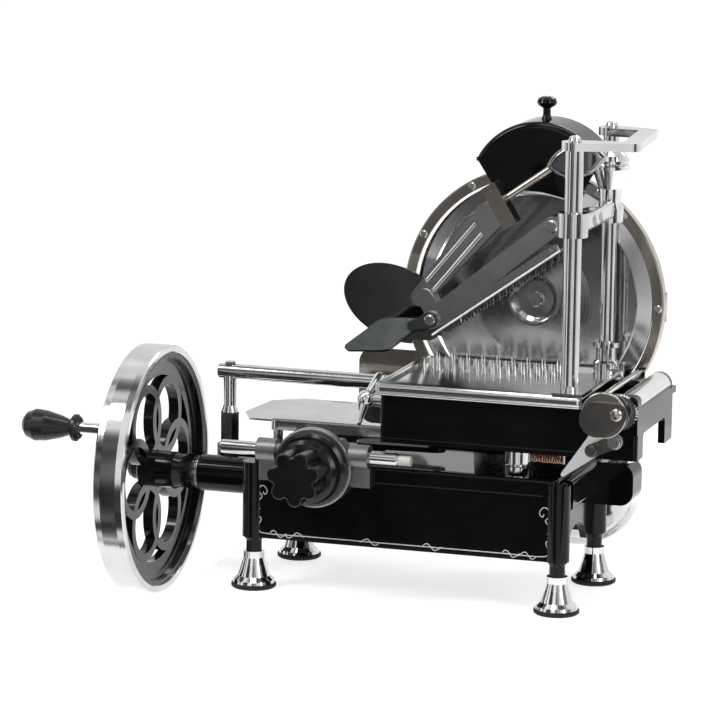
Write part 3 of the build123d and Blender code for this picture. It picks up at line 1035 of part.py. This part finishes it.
def sharpener_hood():
    """Enamelled hood over the sharpener, arched across and open underneath."""
    half = HOOD_W / 2
    arch = make_face(Polyline((-half, HOOD_BOTTOM), (half, HOOD_BOTTOM)) + ThreePointArc(
        (half, HOOD_BOTTOM), (0, HOOD_TOP), (-half, HOOD_BOTTOM)))
    shell = upright(Pos(HOOD_X, 0) * arch, HOOD_Y0, HOOD_Y1)
    shell = fillet(shell.edges().filter_by(GeomType.CIRCLE), 6)
    shell = offset(shell, -HOOD_T, openings=[shell.faces().sort_by(Axis.Z)[0]])
    low = [(HOOD_X + dx * half, HOOD_SKIRT + dz) for dx, dz in (
        (-0.98, HOOD_BOTTOM - HOOD_SKIRT + 4), (-0.62, 0), (-0.42, 6), (0, 5), (0.36, 0), (0.66, 2), (0.98, HOOD_BOTTOM - HOOD_SKIRT + 4))]
    shell += upright(make_face(Polyline(*low, close=True)), HOOD_Y0, HOOD_Y0 + HOOD_T)
    return shell - rod("Z", (HOOD_X, (HOOD_Y0 + HOOD_Y1) / 2, HOOD_TOP - 1), 5, 12 + 2 * SEAT)


def hood_knob():
    return turned("Z", (HOOD_X, (HOOD_Y0 + HOOD_Y1) / 2, HOOD_TOP - 1), [
        (0, 0), (6, 0), (4, 5), (4, 12), (9, 15), (10.5, 18), (9, 22), (5, 24), (0, 24)])


PARTS = [
    base_casting, foot_bells, foot_rubbers, shaft_tube, shaft_bushes, rear_rail, front_bar, rail_posts,
    frame_screws, knob_housing, gear_case, case_cover, blade_ring, receiving_tray, slice_plate,
    sharpener_bracket, sharpener_stones, pinion, thickness_knob, stop_rod, stop_stub, flywheel_rim,
    flywheel_web, main_shaft, wheel_fittings, crank_grip, crank, connecting_rod, drive_pin, cross_shaft,
    cross_gear, idler_gear, blade_arbor, blade, carriage_frame, rail_shoes, feed_cover, carriage_studs,
    feed_screw, trip_spring, pawl_disc, pawl_plate, trip_lever, trip_link, table, food_plate,
    column_seats, columns, top_bracket, press_slider, press_carrier, press_plate, press_arm, press_stay,
    thumb_piece, hand_guard, hand_lever, lock_lever, sharpener_hood, hood_knob,
]
os.makedirs("parts", exist_ok=True)
for build in PARTS:
    write(build.__name__, build())
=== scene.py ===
import json
import math

import bmesh
import bpy
from mathutils import Matrix, Vector


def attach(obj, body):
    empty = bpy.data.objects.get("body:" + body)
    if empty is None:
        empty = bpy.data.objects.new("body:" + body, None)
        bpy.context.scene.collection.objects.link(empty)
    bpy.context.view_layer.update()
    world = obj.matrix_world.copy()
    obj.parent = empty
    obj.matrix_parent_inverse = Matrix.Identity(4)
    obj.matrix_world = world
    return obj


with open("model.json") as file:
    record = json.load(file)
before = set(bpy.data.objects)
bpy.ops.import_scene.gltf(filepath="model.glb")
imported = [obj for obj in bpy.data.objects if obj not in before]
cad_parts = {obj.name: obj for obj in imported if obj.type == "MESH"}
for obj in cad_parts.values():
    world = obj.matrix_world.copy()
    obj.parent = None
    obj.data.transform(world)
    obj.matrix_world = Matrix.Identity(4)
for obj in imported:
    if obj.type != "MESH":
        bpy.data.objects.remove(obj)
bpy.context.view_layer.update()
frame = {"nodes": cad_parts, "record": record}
NODES = frame["nodes"]
MM = 0.001  # metres

# the camera as fitted to the photograph: angles in radians, its place in metres, its lens in mm
CAMERA_ROUND, CAMERA_DOWN, CAMERA_ROLL = 0.312, 0.182, 0.013
CAMERA_AT, CAMERA_LENS = (1.2175, -3.9992, 1.0018), 209.3

BLADE_AXIS = (0.088, 0.2885)  # x and z of the blade's axis, in metres
PAINT_Y = -80.1               # the painted lines' plane on the front wall, in mm
ARM_PIN = (136, -20, 383)     # the press arm's pin, in mm
ARM_SLOPE = 35.5              # the press arm's slope, in degrees
DRUM_AT = (125.6, 121, 93.7)  # middle of the drum cover's near face, in mm

# the stage, in metres: the counter ends beside the flywheel, which hangs past it
STAGE_FRONT, COUNTER_LEFT = -0.3, -0.232
FLOOR_UNDER, FLOOR_TOP = -0.42, -0.4
FLOOR_GLOW = 0.72


# ---- camera -----------------------------------------------------------------------------------------
def look():
    """Camera at the photograph's place: 17.9 degrees round, 10.4 degrees down, a long lens."""
    a, e, roll = CAMERA_ROUND, CAMERA_DOWN, CAMERA_ROLL
    ahead = Vector((-math.sin(a) * math.cos(e), math.cos(a) * math.cos(e), -math.sin(e)))
    right = Vector((math.cos(a), math.sin(a), 0))
    up = right.cross(ahead)
    side = right * math.cos(roll) + up * math.sin(roll)
    top = up * math.cos(roll) - right * math.sin(roll)
    turn = Matrix((side, top, -ahead)).transposed().to_4x4()
    data = bpy.data.cameras.new("camera")
    data.sensor_width, data.sensor_fit, data.lens = 36.0, "HORIZONTAL", CAMERA_LENS
    data.clip_start, data.clip_end = 0.1, 50
    cam = bpy.data.objects.new("camera", data)
    cam.matrix_world = Matrix.Translation(CAMERA_AT) @ turn
    bpy.context.scene.collection.objects.link(cam)
    bpy.context.scene.camera = cam


look()
bpy.context.scene.view_settings.view_transform = "Standard"


# ---- materials --------------------------------------------------------------------------------------
def shader(name):
    m = bpy.data.materials.new(name)
    m.use_nodes = True
    nt = m.node_tree
    return m, nt, nt.nodes["Principled BSDF"]


def add(nt, kind, **values):
    n = nt.nodes.new(kind)
    for k, v in values.items():
        setattr(n, k, v)
    return n


def total(nt, one, two):
    """Sum of two outputs."""
    n = add(nt, "ShaderNodeMath", operation="ADD")
    nt.links.new(one, n.inputs[0])
    nt.links.new(two, n.inputs[1])
    return n.outputs[0]


def noise(nt, scale, detail=4.0, rough=0.55, stretch=(1, 1, 1)):
    tex = add(nt, "ShaderNodeTexCoord")
    place = add(nt, "ShaderNodeMapping")
    place.inputs["Scale"].default_value = stretch
    n = add(nt, "ShaderNodeTexNoise")
    n.inputs["Scale"].default_value = scale
    n.inputs["Detail"].default_value = detail
    n.inputs["Roughness"].default_value = rough
    nt.links.new(tex.outputs["Object"], place.inputs["Vector"])
    nt.links.new(place.outputs["Vector"], n.inputs["Vector"])
    return n


def ramp(nt, source, stops):
    r = add(nt, "ShaderNodeValToRGB")
    el = r.color_ramp.elements
    while len(el) < len(stops):
        el.new(0.5)
    for e, (at, c) in zip(el, stops):
        e.position = at
        e.color = (c, c, c, 1) if isinstance(c, float) else (*c, 1)
    nt.links.new(source, r.inputs["Fac"])
    return r.outputs["Color"]


def bumped(nt, source, strength, distance=0.0004):
    b = add(nt, "ShaderNodeBump")
    b.inputs["Strength"].default_value = strength
    b.inputs["Distance"].default_value = distance
    nt.links.new(source, b.inputs["Height"])
    return b.outputs["Normal"]


def metal(name, tone, rough, grain=0.05, stretch=(1, 1, 1), scale=260.0, cast=0.08, warm=(1, 1, 1)):
    """Polished or satin metal: fine grain in its bump and gloss, faint handling marks in its colour."""
    m, nt, p = shader(name)
    p.inputs["Metallic"].default_value = 1.0
    fine = noise(nt, scale, 3.0, 0.6, stretch)
    wide = noise(nt, 16.0, 5.0, 0.6)
    low = tuple((tone - cast) * w for w in warm)
    high = tuple(min(1.0, tone + cast * 0.5) * w for w in warm)
    nt.links.new(ramp(nt, wide.outputs["Fac"], [(0.32, low), (0.62, high)]), p.inputs["Base Color"])
    mixed = total(nt, fine.outputs["Fac"], wide.outputs["Fac"])
    nt.links.new(ramp(nt, mixed, [(0.35, max(0.02, rough - 0.04)), (1.0, rough + 0.05)]),
                 p.inputs["Roughness"])
    nt.links.new(bumped(nt, fine.outputs["Fac"], grain), p.inputs["Normal"])
    return m


def enamel(name, tone=(0.003, 0.003, 0.0035), rough=0.07, wave=0.03, spec=0.22):
    """Deep black enamel: a faint orange peel in its gloss, dust lifting its colour a little."""
    m, nt, p = shader(name)
    wide = noise(nt, 30.0, 6.0, 0.7)
    peel = noise(nt, 210.0, 2.0, 0.4)
    high = tuple(c * 2.0 for c in tone)
    nt.links.new(ramp(nt, wide.outputs["Fac"], [(0.35, tone), (0.75, high)]), p.inputs["Base Color"])
    nt.links.new(ramp(nt, wide.outputs["Fac"], [(0.3, rough), (0.8, rough + 0.06)]), p.inputs["Roughness"])
    p.inputs["Specular IOR Level"].default_value = spec
    nt.links.new(bumped(nt, peel.outputs["Fac"], wave), p.inputs["Normal"])
    return m


def dull(name, low, high, rough=0.5, scale=120.0, grain=0.2, spec=0.5):
    """Rubber, stone, nylon and other dull materials with a mottled colour and a fine grain."""
    m, nt, p = shader(name)
    wide = noise(nt, scale * 0.3, 5.0, 0.65)
    fine = noise(nt, scale * 4, 4.0, 0.7)
    nt.links.new(ramp(nt, wide.outputs["Fac"], [(0.3, low), (0.7, high)]), p.inputs["Base Color"])
    nt.links.new(ramp(nt, fine.outputs["Fac"], [(0.3, rough - 0.06), (0.7, rough + 0.1)]),
                 p.inputs["Roughness"])
    p.inputs["Specular IOR Level"].default_value = spec
    nt.links.new(bumped(nt, fine.outputs["Fac"], grain), p.inputs["Normal"])
    return m


def ground(name, axis_at, tone=0.62):
    """Ground steel with fine rings about a Y axis through axis_at, as a knife is ground."""
    m, nt, p = shader(name)
    p.inputs["Metallic"].default_value = 1.0
    tex = add(nt, "ShaderNodeTexCoord")
    place = add(nt, "ShaderNodeMapping")
    place.inputs["Location"].default_value = (-axis_at[0], 0, -axis_at[1])
    flatten = add(nt, "ShaderNodeMapping")
    flatten.inputs["Scale"].default_value = (1, 0, 1)
    dist = add(nt, "ShaderNodeVectorMath", operation="LENGTH")
    nt.links.new(tex.outputs["Object"], place.inputs["Vector"])
    nt.links.new(place.outputs["Vector"], flatten.inputs["Vector"])
    nt.links.new(flatten.outputs["Vector"], dist.inputs[0])
    rings = add(nt, "ShaderNodeTexNoise", noise_dimensions="1D")
    rings.inputs["Scale"].default_value = 900.0
    rings.inputs["Detail"].default_value = 4.0
    nt.links.new(dist.outputs["Value"], rings.inputs["W"])
    wide = noise(nt, 9.0, 4.0, 0.5)
    nt.links.new(ramp(nt, wide.outputs["Fac"], [(0.3, tone - 0.1), (0.7, tone + 0.12)]),
                 p.inputs["Base Color"])
    nt.links.new(ramp(nt, rings.outputs["Fac"], [(0.3, 0.08), (0.7, 0.18)]), p.inputs["Roughness"])
    p.inputs["Anisotropic"].default_value = 0.75
    about = add(nt, "ShaderNodeTangent", direction_type="RADIAL", axis="Y")
    nt.links.new(about.outputs["Tangent"], p.inputs["Tangent"])
    nt.links.new(bumped(nt, rings.outputs["Fac"], 0.06, 0.0002), p.inputs["Normal"])
    return m


MATS = {
    "enamel": enamel("black_enamel"),
    "black_iron": enamel("black_iron_gloss", (0.004, 0.004, 0.0045), 0.1, 0.06, 0.3),
    "dark_plate": metal("dark_plate", 0.16, 0.24, 0.1, (1, 1, 1), 200.0, 0.05, (1.0, 0.96, 0.9)),
    "rubber": dull("foot_rubber", (0.008, 0.008, 0.008), (0.02, 0.02, 0.02), 0.62, 120.0, 0.2, 0.3),
    "polished_steel": metal("polished_steel", 0.62, 0.08, 0.02),
    "chrome": metal("bright_chrome", 0.72, 0.05, 0.01),
    "blade_steel": ground("ground_knife_steel", BLADE_AXIS, 0.5),
    "brushed": metal("satin_steel", 0.5, 0.2, 0.12, (1, 1, 12), 160.0),
    "screw_steel": metal("screw_steel", 0.58, 0.16),
    "grey_iron": metal("grey_cast_iron", 0.24, 0.3, 0.5, (1, 1, 1), 420.0),
    "bronze": metal("turned_disc_steel", 0.44, 0.16, 0.1, (1, 1, 1), 300.0, 0.1, (1.0, 0.94, 0.87)),
    "dial": enamel("dial_black", (0.005, 0.005, 0.0055), 0.16, 0.05, 0.35),
    "nylon": dull("pale_nylon", (0.6, 0.57, 0.5), (0.74, 0.72, 0.66), 0.4, 90.0, 0.08),
    "grip_black": dull("grip_black", (0.006, 0.006, 0.0065), (0.014, 0.014, 0.014), 0.26, 60.0, 0.05, 0.45),
    "stone": dull("abrasive_stone", (0.3, 0.25, 0.2), (0.5, 0.44, 0.38), 0.85, 300.0, 0.9),
    "spring_copper": metal("copper_spring_wire", 0.5, 0.25, 0.1, (1, 1, 1), 300.0, 0.08, (1.0, 0.55, 0.35)),
}
LINE = dull("pale_line_paint", (0.62, 0.6, 0.54), (0.78, 0.77, 0.72), 0.4, 200.0, 0.05)

# looks of single nodes that aren't the look of their slot: the dark mirror has a painted dark, blue-grey
# reflection in its colour, the tan steel a painted tan reflection
# painted dark reflection: a dark blue-grey tone on a mirror metal
PAINTED_DARK_REFLECTION = metal("mirror_steel_painted_dark_reflection", 0.27, 0.05, 0.01, (1, 1, 1), 260.0, 0.06, (0.92, 0.97, 1.0))
# painted tan reflection: a warm tan tone in the steel's colour
PAINTED_TAN_REFLECTION = metal("steel_painted_tan_reflection", 0.42, 0.12, 0.04, (1, 1, 1), 260.0, 0.1, (1.0, 0.92, 0.8))
SATIN = metal("bright_satin", 0.86, 0.4, 0.1, (1, 1, 1), 300.0, 0.06)
LOOKS_INCL_PAINTED_REFLECTIONS = {"hand_guard": PAINTED_DARK_REFLECTION, "hand_lever": PAINTED_DARK_REFLECTION, "thumb_piece": PAINTED_DARK_REFLECTION, "press_stay": PAINTED_TAN_REFLECTION, "press_plate": PAINTED_DARK_REFLECTION,
       "trip_lever": SATIN, "slice_plate": PAINTED_TAN_REFLECTION, "blade_ring": PAINTED_TAN_REFLECTION}

for part in frame["record"]["subparts"]:
    node = NODES[part["node"]]
    node.data.materials.clear()
    node.data.materials.append(LOOKS_INCL_PAINTED_REFLECTIONS.get(part["node"], MATS[part["material_slot"]]))


# ---- edges ------------------------------------------------------------------------------------------
def soften(name, width, angle=40.0):
    """Small rounded edge on a carried-over solid, so that its edges catch the light."""
    o = NODES[name]
    b = o.modifiers.new("edge", "BEVEL")
    b.width, b.segments, b.limit_method = width * MM, 2, "ANGLE"
    b.angle_limit = math.radians(angle)
    b.harden_normals = False
    b.use_clamp_overlap = True


for name, width in {
        "base_casting": 1.2, "carriage_frame": 1.0, "gear_case": 0.8, "knob_housing": 0.8, "front_bar": 0.8,
        "table": 0.6, "food_plate": 0.4, "top_bracket": 0.8, "press_slider": 0.3, "press_carrier": 0.6,
        "press_arm": 0.6, "press_stay": 0.6, "press_plate": 0.3, "thumb_piece": 0.5, "hand_guard": 0.5,
        "hand_lever": 0.5, "lock_lever": 0.4, "feed_cover": 0.4, "pawl_disc": 0.4, "pawl_plate": 0.4,
        "trip_lever": 0.4, "trip_link": 0.4, "carriage_studs": 0.3, "sharpener_hood": 0.6, "hood_knob": 0.4,
        "flywheel_web": 0.6, "connecting_rod": 0.5, "crank": 0.5, "receiving_tray": 0.4,
        "slice_plate": 0.3, "rail_posts": 0.5, "column_seats": 0.4, "thickness_knob": 0.5}.items():
    soften(name, width)


# ---- made pieces ------------------------------------------------------------------------------------
def placed(o, material, body):
    o.data.materials.append(material)
    bpy.context.scene.collection.objects.link(o)
    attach(o, body)
    return o


def line(name, runs, radius, material, body):
    """Smooth strokes of round section through points in mm, as one curve object."""
    data = bpy.data.curves.new(name, "CURVE")
    data.dimensions, data.bevel_depth, data.bevel_resolution, data.resolution_u = "3D", radius * MM, 3, 6
    data.use_fill_caps = True
    for run in runs:
        spline = data.splines.new("BEZIER")
        spline.bezier_points.add(len(run) - 1)
        for bp, co in zip(spline.bezier_points, run):
            bp.co = Vector(co) * MM
            bp.handle_left_type = bp.handle_right_type = "AUTO"
    return placed(bpy.data.objects.new(name, data), material, body)


def lathe(name, axis, at, profile, material, body, steps):
    """Turned piece: (radius, distance along the axis) pairs in mm, spun about the axis through at."""
    u = {"X": (1, 0, 0), "Y": (0, 1, 0), "Z": (0, 0, 1)}[axis]
    v = {"X": (0, 1, 0), "Y": (0, 0, 1), "Z": (1, 0, 0)}[axis]
    u, v = Vector(u), Vector(v)
    w = u.cross(v)
    bm = bmesh.new()
    rings = []
    for i in range(steps):
        a = math.radians(360 * i / steps)
        out = v * math.cos(a) + w * math.sin(a)
        rings.append([bm.verts.new((Vector(at) + u * t + out * r) * MM) for r, t in profile])
    for i in range(steps):
        one, two = rings[i], rings[(i + 1) % steps]
        for k in range(len(profile) - 1):
            bm.faces.new((one[k], two[k], two[k + 1], one[k + 1]))
    bmesh.ops.remove_doubles(bm, verts=bm.verts, dist=1e-6)
    bmesh.ops.recalc_face_normals(bm, faces=bm.faces)
    mesh = bpy.data.meshes.new(name)
    bm.to_mesh(mesh)
    bm.free()
    mesh.shade_smooth()
    mesh.set_sharp_from_angle(angle=math.radians(35))
    return placed(bpy.data.objects.new(name, mesh), material, body)


# ---- painted lines on the base ----------------------------------------------------------------------
def wall(points):
    return [(x, PAINT_Y, z) for x, z in points]


def wave(x0, z0, x1, z1, swing):
    """Tendril that crosses its line twice between two points."""
    dx, dz = x1 - x0, z1 - z0
    size = math.hypot(dx, dz)
    nx, nz = -dz / size, dx / size
    return [(x0 + dx * t + nx * k * swing, z0 + dz * t + nz * k * swing)
            for t, k in ((0, 0.25), (0.2, 1), (0.42, 0.2), (0.6, -0.9), (0.82, -0.5), (1, 0.35))]


def curl(x, z, r, side):
    """Open hook at the head of an upright line, side +1 turning right."""
    return [(x, z), (x, z + r), (x + side * r * 0.9, z + 1.9 * r), (x + side * 2 * r, z + 1.2 * r),
            (x + side * 2.1 * r, z + 0.1 * r), (x + side * 1.5 * r, z - 0.3 * r),
            (x + side * 1.2 * r, z + 0.4 * r)]


# border and tendrils in mm: the border's two upright lines, its lowest line and its upper ends
LEFT, RIGHT, FOOT, HEAD = -152.4, 152.6, 58.4, 100.0
border = [(LEFT, HEAD), (LEFT, 72), (LEFT, 63), (LEFT + 1.4, FOOT + 1.2), (LEFT + 5.5, FOOT),
          (-100, FOOT), (0, FOOT), (100, FOOT),
          (RIGHT - 5.5, FOOT), (RIGHT - 1.4, FOOT + 1.2), (RIGHT, 63), (RIGHT, 72), (RIGHT, HEAD)]
line("front_line", [wall(border)], 0.55, LINE, "base")

along_foot = [(-140, -123, 3.4), (-124, -104, -3.0), (-24, -44, 3.0), (22, 42, 3.2),
              (105, 123, 3.4), (140, 122, 3.4)]
up_sides = [(LEFT, 100, 83, 3.4), (LEFT, 84, 66, -2.8), (RIGHT, 98, 82, -3.4), (RIGHT, 83, 66, 2.8)]
scrolls = [curl(LEFT, HEAD, 4.0, 1), curl(RIGHT, HEAD, 4.4, -1)]
scrolls += [wave(x0, FOOT, x1, FOOT, swing) for x0, x1, swing in along_foot]
scrolls += [wave(x, z0, x, z1, swing) for x, z0, z1, swing in up_sides]
line("front_scrolls", [wall(points) for points in scrolls], 0.5, LINE, "base")


# ---- trim and fittings ------------------------------------------------------------------------------
def slope(x, y, z):
    """Row-frame point of a place in the press arm's own frame: x up the slope, z square to it."""
    a = math.radians(ARM_SLOPE)
    px, py, pz = ARM_PIN
    return (px + x * math.cos(a) - z * math.sin(a), py + y, pz + x * math.sin(a) + z * math.cos(a))


def bead(name, xs, y, z, radius, look, body):
    """Straight bead along X through the places xs, in mm."""
    line(name, [[(x, y, z) for x in xs]], radius, MATS[look], body)


press_edge = [slope(x, -38.2, -25.4) for x in (-158, -80, 2)]
line("press_edge", [press_edge], 1.1, SATIN, "press_arm")
bead("table_front_bead", (-24, 80, 186), -97.2, 215.4, 2.0, "polished_steel", "table")
bead("table_top_bead", (-23, 80, 186), -97.1, 222.2, 1.0, "chrome", "table")
bead("skirt_bead", (-21, 100, 206), -90.0, 169, 0.6, "enamel", "carriage")
bead("deck_bead", (-40, 60, 146), -80.2, 120, 1.0, "enamel", "base")

# polished round cover on the back of the gear case: a guess, from what shows past the right leg
drum = [(0, 0), (56, 0), (60, 2), (62, 5), (67, 5.5), (69, 7), (69, 15), (66, 17), (40, 19), (0, 20)]
lathe("drum_cover", "Y", DRUM_AT, drum, MATS["chrome"], "base", 96)


# ---- stage ------------------------------------------------------------------------------------------
def slab(name, x0, x1, y0, y1, z0, z1, material):
    mesh = bpy.data.meshes.new(name)
    bm = bmesh.new()
    bmesh.ops.create_cube(bm, size=1)
    bmesh.ops.scale(bm, verts=bm.verts, vec=(x1 - x0, y1 - y0, z1 - z0))
    bmesh.ops.translate(bm, verts=bm.verts, vec=((x0 + x1) / 2, (y0 + y1) / 2, (z0 + z1) / 2))
    bm.to_mesh(mesh)
    bm.free()
    o = bpy.data.objects.new(name, mesh)
    o.data.materials.append(material)
    bpy.context.scene.collection.objects.link(o)
    return o


def pale_floor():
    """Grey floor that also glows, for camera, transmission and glossy rays only."""
    m, nt, p = shader("pale_floor")
    p.inputs["Base Color"].default_value = (0.6, 0.6, 0.6, 1)
    p.inputs["Roughness"].default_value = 0.8
    path = add(nt, "ShaderNodeLightPath")
    seen = total(nt, path.outputs["Is Camera Ray"], path.outputs["Is Transmission Ray"])
    power = add(nt, "ShaderNodeMath", operation="MULTIPLY")
    power.inputs[1].default_value = FLOOR_GLOW
    nt.links.new(total(nt, seen, path.outputs["Is Glossy Ray"]), power.inputs[0])
    glow = add(nt, "ShaderNodeEmission")
    nt.links.new(power.outputs[0], glow.inputs["Strength"])
    both = add(nt, "ShaderNodeAddShader")
    nt.links.new(p.outputs[0], both.inputs[0])
    nt.links.new(glow.outputs[0], both.inputs[1])
    nt.links.new(both.outputs[0], nt.nodes["Material Output"].inputs["Surface"])
    return m


FLOOR = pale_floor()
slab("floor", -20, 20, STAGE_FRONT, 30, FLOOR_UNDER, FLOOR_TOP, FLOOR)
slab("counter", COUNTER_LEFT, 0.9, STAGE_FRONT, 0.9, FLOOR_TOP, 0.0, FLOOR)


def sky():
    """World light by kind of ray. Camera and transmission rays see white. Glossy rays see no white
    background: they see a ramp from dark in front to bright behind, lightened by patches of noise.
    All other rays get an even grey."""
    w = bpy.data.worlds.new("studio")
    bpy.context.scene.world = w
    w.use_nodes = True
    nt = w.node_tree
    back = nt.nodes["Background"]
    tex = add(nt, "ShaderNodeTexCoord")
    split = add(nt, "ShaderNodeSeparateXYZ")
    nt.links.new(tex.outputs["Generated"], split.inputs[0])
    shift = add(nt, "ShaderNodeMath", operation="MULTIPLY_ADD")
    shift.inputs[1].default_value, shift.inputs[2].default_value = 0.5, 0.5
    nt.links.new(split.outputs["Y"], shift.inputs[0])
    depth = ramp(nt, shift.outputs[0], [(0.0, 0.0), (0.5, 0.06), (0.66, 0.9)])
    patch = add(nt, "ShaderNodeTexNoise")
    patch.inputs["Scale"].default_value = 2.1
    patch.inputs["Detail"].default_value = 1.0
    patch.inputs["Distortion"].default_value = 0.6
    squeeze = add(nt, "ShaderNodeMapping")
    squeeze.inputs["Scale"].default_value = (1.5, 1.5, 0.8)
    squeeze.inputs["Location"].default_value = (0.35, 0.2, 0.1)
    nt.links.new(tex.outputs["Generated"], squeeze.inputs["Vector"])
    nt.links.new(squeeze.outputs["Vector"], patch.inputs["Vector"])
    lift = ramp(nt, patch.outputs["Fac"], [(0.4, 0.03), (0.47, 0.16), (0.53, 0.3), (0.56, 0.95), (0.7, 1.1)])
    most = add(nt, "ShaderNodeMix", data_type="RGBA", blend_type="LIGHTEN")
    most.inputs["Factor"].default_value = 1.0
    nt.links.new(depth, most.inputs["A"])
    nt.links.new(lift, most.inputs["B"])
    path = add(nt, "ShaderNodeLightPath")
    pick = add(nt, "ShaderNodeMix", data_type="RGBA")
    pick.inputs["A"].default_value = (0.5, 0.505, 0.52, 1)
    nt.links.new(path.outputs["Is Glossy Ray"], pick.inputs["Factor"])
    nt.links.new(most.outputs["Result"], pick.inputs["B"])
    through = total(nt, path.outputs["Is Camera Ray"], path.outputs["Is Transmission Ray"])
    seen = add(nt, "ShaderNodeMix", data_type="RGBA")
    seen.inputs["B"].default_value = (1, 1, 1, 1)
    nt.links.new(through, seen.inputs["Factor"])
    nt.links.new(pick.outputs["Result"], seen.inputs["A"])
    nt.links.new(seen.outputs["Result"], back.inputs["Color"])


sky()


def lamp(name, at, aim, width, height, power):
    data = bpy.data.lights.new(name, "AREA")
    data.shape, data.size, data.size_y, data.energy = "RECTANGLE", width, height, power
    o = bpy.data.objects.new(name, data)
    o.location = at
    o.rotation_euler = (Vector(aim) - Vector(at)).to_track_quat("-Z", "Y").to_euler()
    bpy.context.scene.collection.objects.link(o)


lamp("key", (-1.7, -1.5, 2.2), (0, 0, 0.2), 0.5, 1.5, 34)
lamp("fill", (2.2, -1.3, 1.3), (0, 0, 0.2), 0.3, 1.8, 16)
lamp("top", (0.2, -0.4, 2.6), (0, 0, 0.2), 1.6, 0.5, 16)
lamp("rim", (0.6, 2.2, 2.0), (0, 0, 0.3), 1.6, 0.6, 18)
